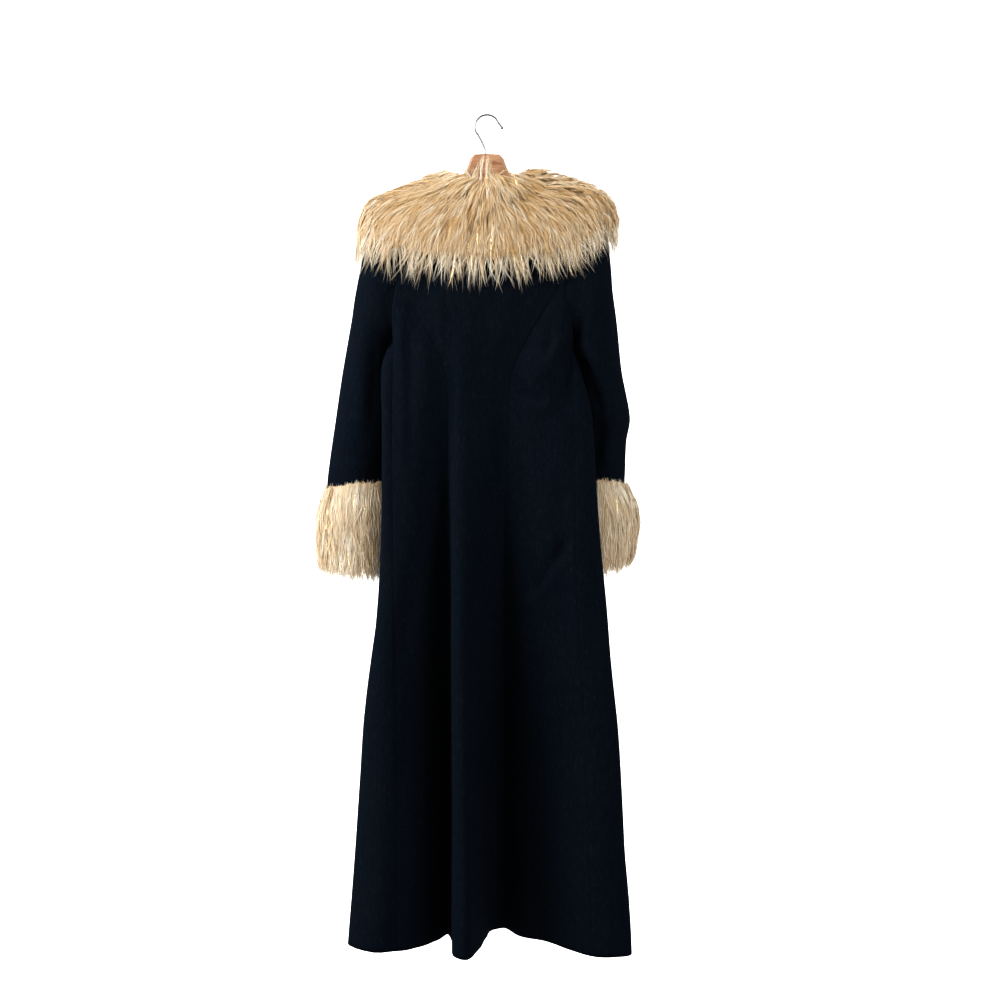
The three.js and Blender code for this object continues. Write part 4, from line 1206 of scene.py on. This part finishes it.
def grow_cuff(name, rows, sleeve_rows, side, short, start, seed):
    """A cuff's skin and its fur, shorter on the outer side."""
    rng = np.random.default_rng(seed)
    pelt = cuff_pelt(rows, sleeve_rows, side)
    u, v = pelt.roots(rng, CUFF_GUIDES, 0, CUFF_ROOTS_TO)
    tall = (len(pelt.grid) - 1 - v) * np.linalg.norm(sample(pelt.dv, u, v), axis=1)
    outward = np.maximum(side * sample(pelt.normal, u, v)[:, 0], 0)
    tall = tall * (1 - short * outward**2)
    length = np.minimum(rng.normal(74, 10, len(u)).clip(50, 96), tall * rng.uniform(0.86, 1.08, len(u)))
    over = rng.uniform(0, CUFF_SIDES, CUFF_TOPS)
    edge = rng.uniform(-0.1, 1.2, CUFF_TOPS) + 0.25 * np.sin(over * 0.9)
    locks = grow(pelt, rng, (u, v), length, CUFF_LOOK, start)
    length = rng.uniform(55, 95, CUFF_TOPS)
    start = rng.uniform(0.1, 0.9, CUFF_TOPS)
    tops = grow(pelt, rng, (over, edge), length, CUFF_LOOK, start, False)
    fur = ribbons(f"{name}_fur", [locks, tops], fur_materials)
    skin(name, pelt.grid[:CUFF_SKIN_ROWS])


grow_collar()
grow_cuff("cuff_left", LEFT_CUFF, LEFT_SLEEVE, 1, 0.26, 0.06, SEED + 1)
grow_cuff("cuff_right", RIGHT_CUFF, RIGHT_SLEEVE, -1, 0.4, 0.5, SEED + 2)


# The hanger and its hook keep their CAD shapes

for node, finish in (("hanger_body", wood_material()), ("hanger_hook", chrome_material())):
    part = bpy.data.objects[node]
    part.data.materials.clear()
    part.data.materials.append(finish)


# Floor, light and camera


DOME = 4.6
DOME_SIDES = 64
DOME_SINK = 0.34
FLOOR_Z = -1.72


def area_light(name, place, aim, size, power):
    lamp = bpy.data.lights.new(name, "AREA")
    lamp.shape = "RECTANGLE"
    lamp.size, lamp.size_y = size
    lamp.energy = power
    holder = bpy.data.objects.new(name, lamp)
    holder.location = place
    holder.rotation_euler = (Vector(aim) - Vector(place)).to_track_quat("-Z", "Y").to_euler()
    bpy.context.scene.collection.objects.link(holder)


def stage_piece(name, points, faces, glow):
    """A pale piece of the backdrop that only the camera sees."""
    mesh = bpy.data.meshes.new(name)
    mesh.from_pydata(points, [], faces)
    material, tree, shader = node_material(f"pale_{name}")
    set_inputs(tree, shader, {
        "Roughness": 0.9, "Base Color": (0.85, 0.85, 0.85, 1), "Specular IOR Level": 0,
        "Emission Color": (1, 1, 1, 1), "Emission Strength": glow,
    })
    mesh.materials.append(material)
    piece = bpy.data.objects.new(name, mesh)
    piece.visible_diffuse = piece.visible_glossy = piece.visible_transmission = False
    piece.visible_shadow = False
    bpy.context.scene.collection.objects.link(piece)


def backdrop():
    """A floor inside a white dome."""
    sides = range(DOME_SIDES)
    ring = [(math.cos(2 * math.pi * k / DOME_SIDES), math.sin(2 * math.pi * k / DOME_SIDES)) for k in sides]
    dome, faces = [], []
    for row, tilt in enumerate(range(-20, 90, 10)):
        wide = DOME * math.cos(math.radians(tilt))
        z = FLOOR_Z + DOME * (math.sin(math.radians(tilt)) + DOME_SINK)
        dome += [(wide * x, wide * y, z) for x, y in ring]
        if row:
            low, high = DOME_SIDES * (row - 1), DOME_SIDES * row
            around = [(k, (k + 1) % DOME_SIDES) for k in sides]
            faces += [(low + a, low + b, high + b, high + a) for a, b in around]
    faces.append(tuple(range(len(dome) - DOME_SIDES, len(dome))))
    stage_piece("dome", dome, faces, 1.0)
    stage_piece("floor", [(DOME * x, DOME * y, FLOOR_Z) for x, y in ring], [tuple(sides)], 0.78)


backdrop()
world = bpy.data.worlds.new("studio")
world.use_nodes = True
world.node_tree.nodes["Background"].inputs["Color"].default_value = (1, 0.985, 0.965, 1)
world.node_tree.nodes["Background"].inputs["Strength"].default_value = 0.38
scene = bpy.context.scene
scene.world = world
scene.view_settings.view_transform = "Standard"
scene.view_settings.look = "High Contrast"
middle = (-0.02, 0, -0.65)
area_light("key", (2.1, 1.1, 0.75), middle, (0.9, 1.4), 51)
area_light("fill", (-2.1, 1.8, 0.6), middle, (1.4, 1.4), 33)
area_light("low", (2.3, 0.4, -0.7), (0.2, 0, -0.95), (0.5, 1.2), 15)
area_light("front", (0, -2.7, 0.3), middle, (1.6, 1.6), 35)

camera = bpy.data.objects.new("camera", bpy.data.cameras.new("camera"))
camera.data.lens = 46.6
camera.location = (-0.022, 2.2, -0.653)
camera.rotation_euler = (math.radians(90), 0, math.radians(180))
scene.collection.objects.link(camera)
scene.camera = camera
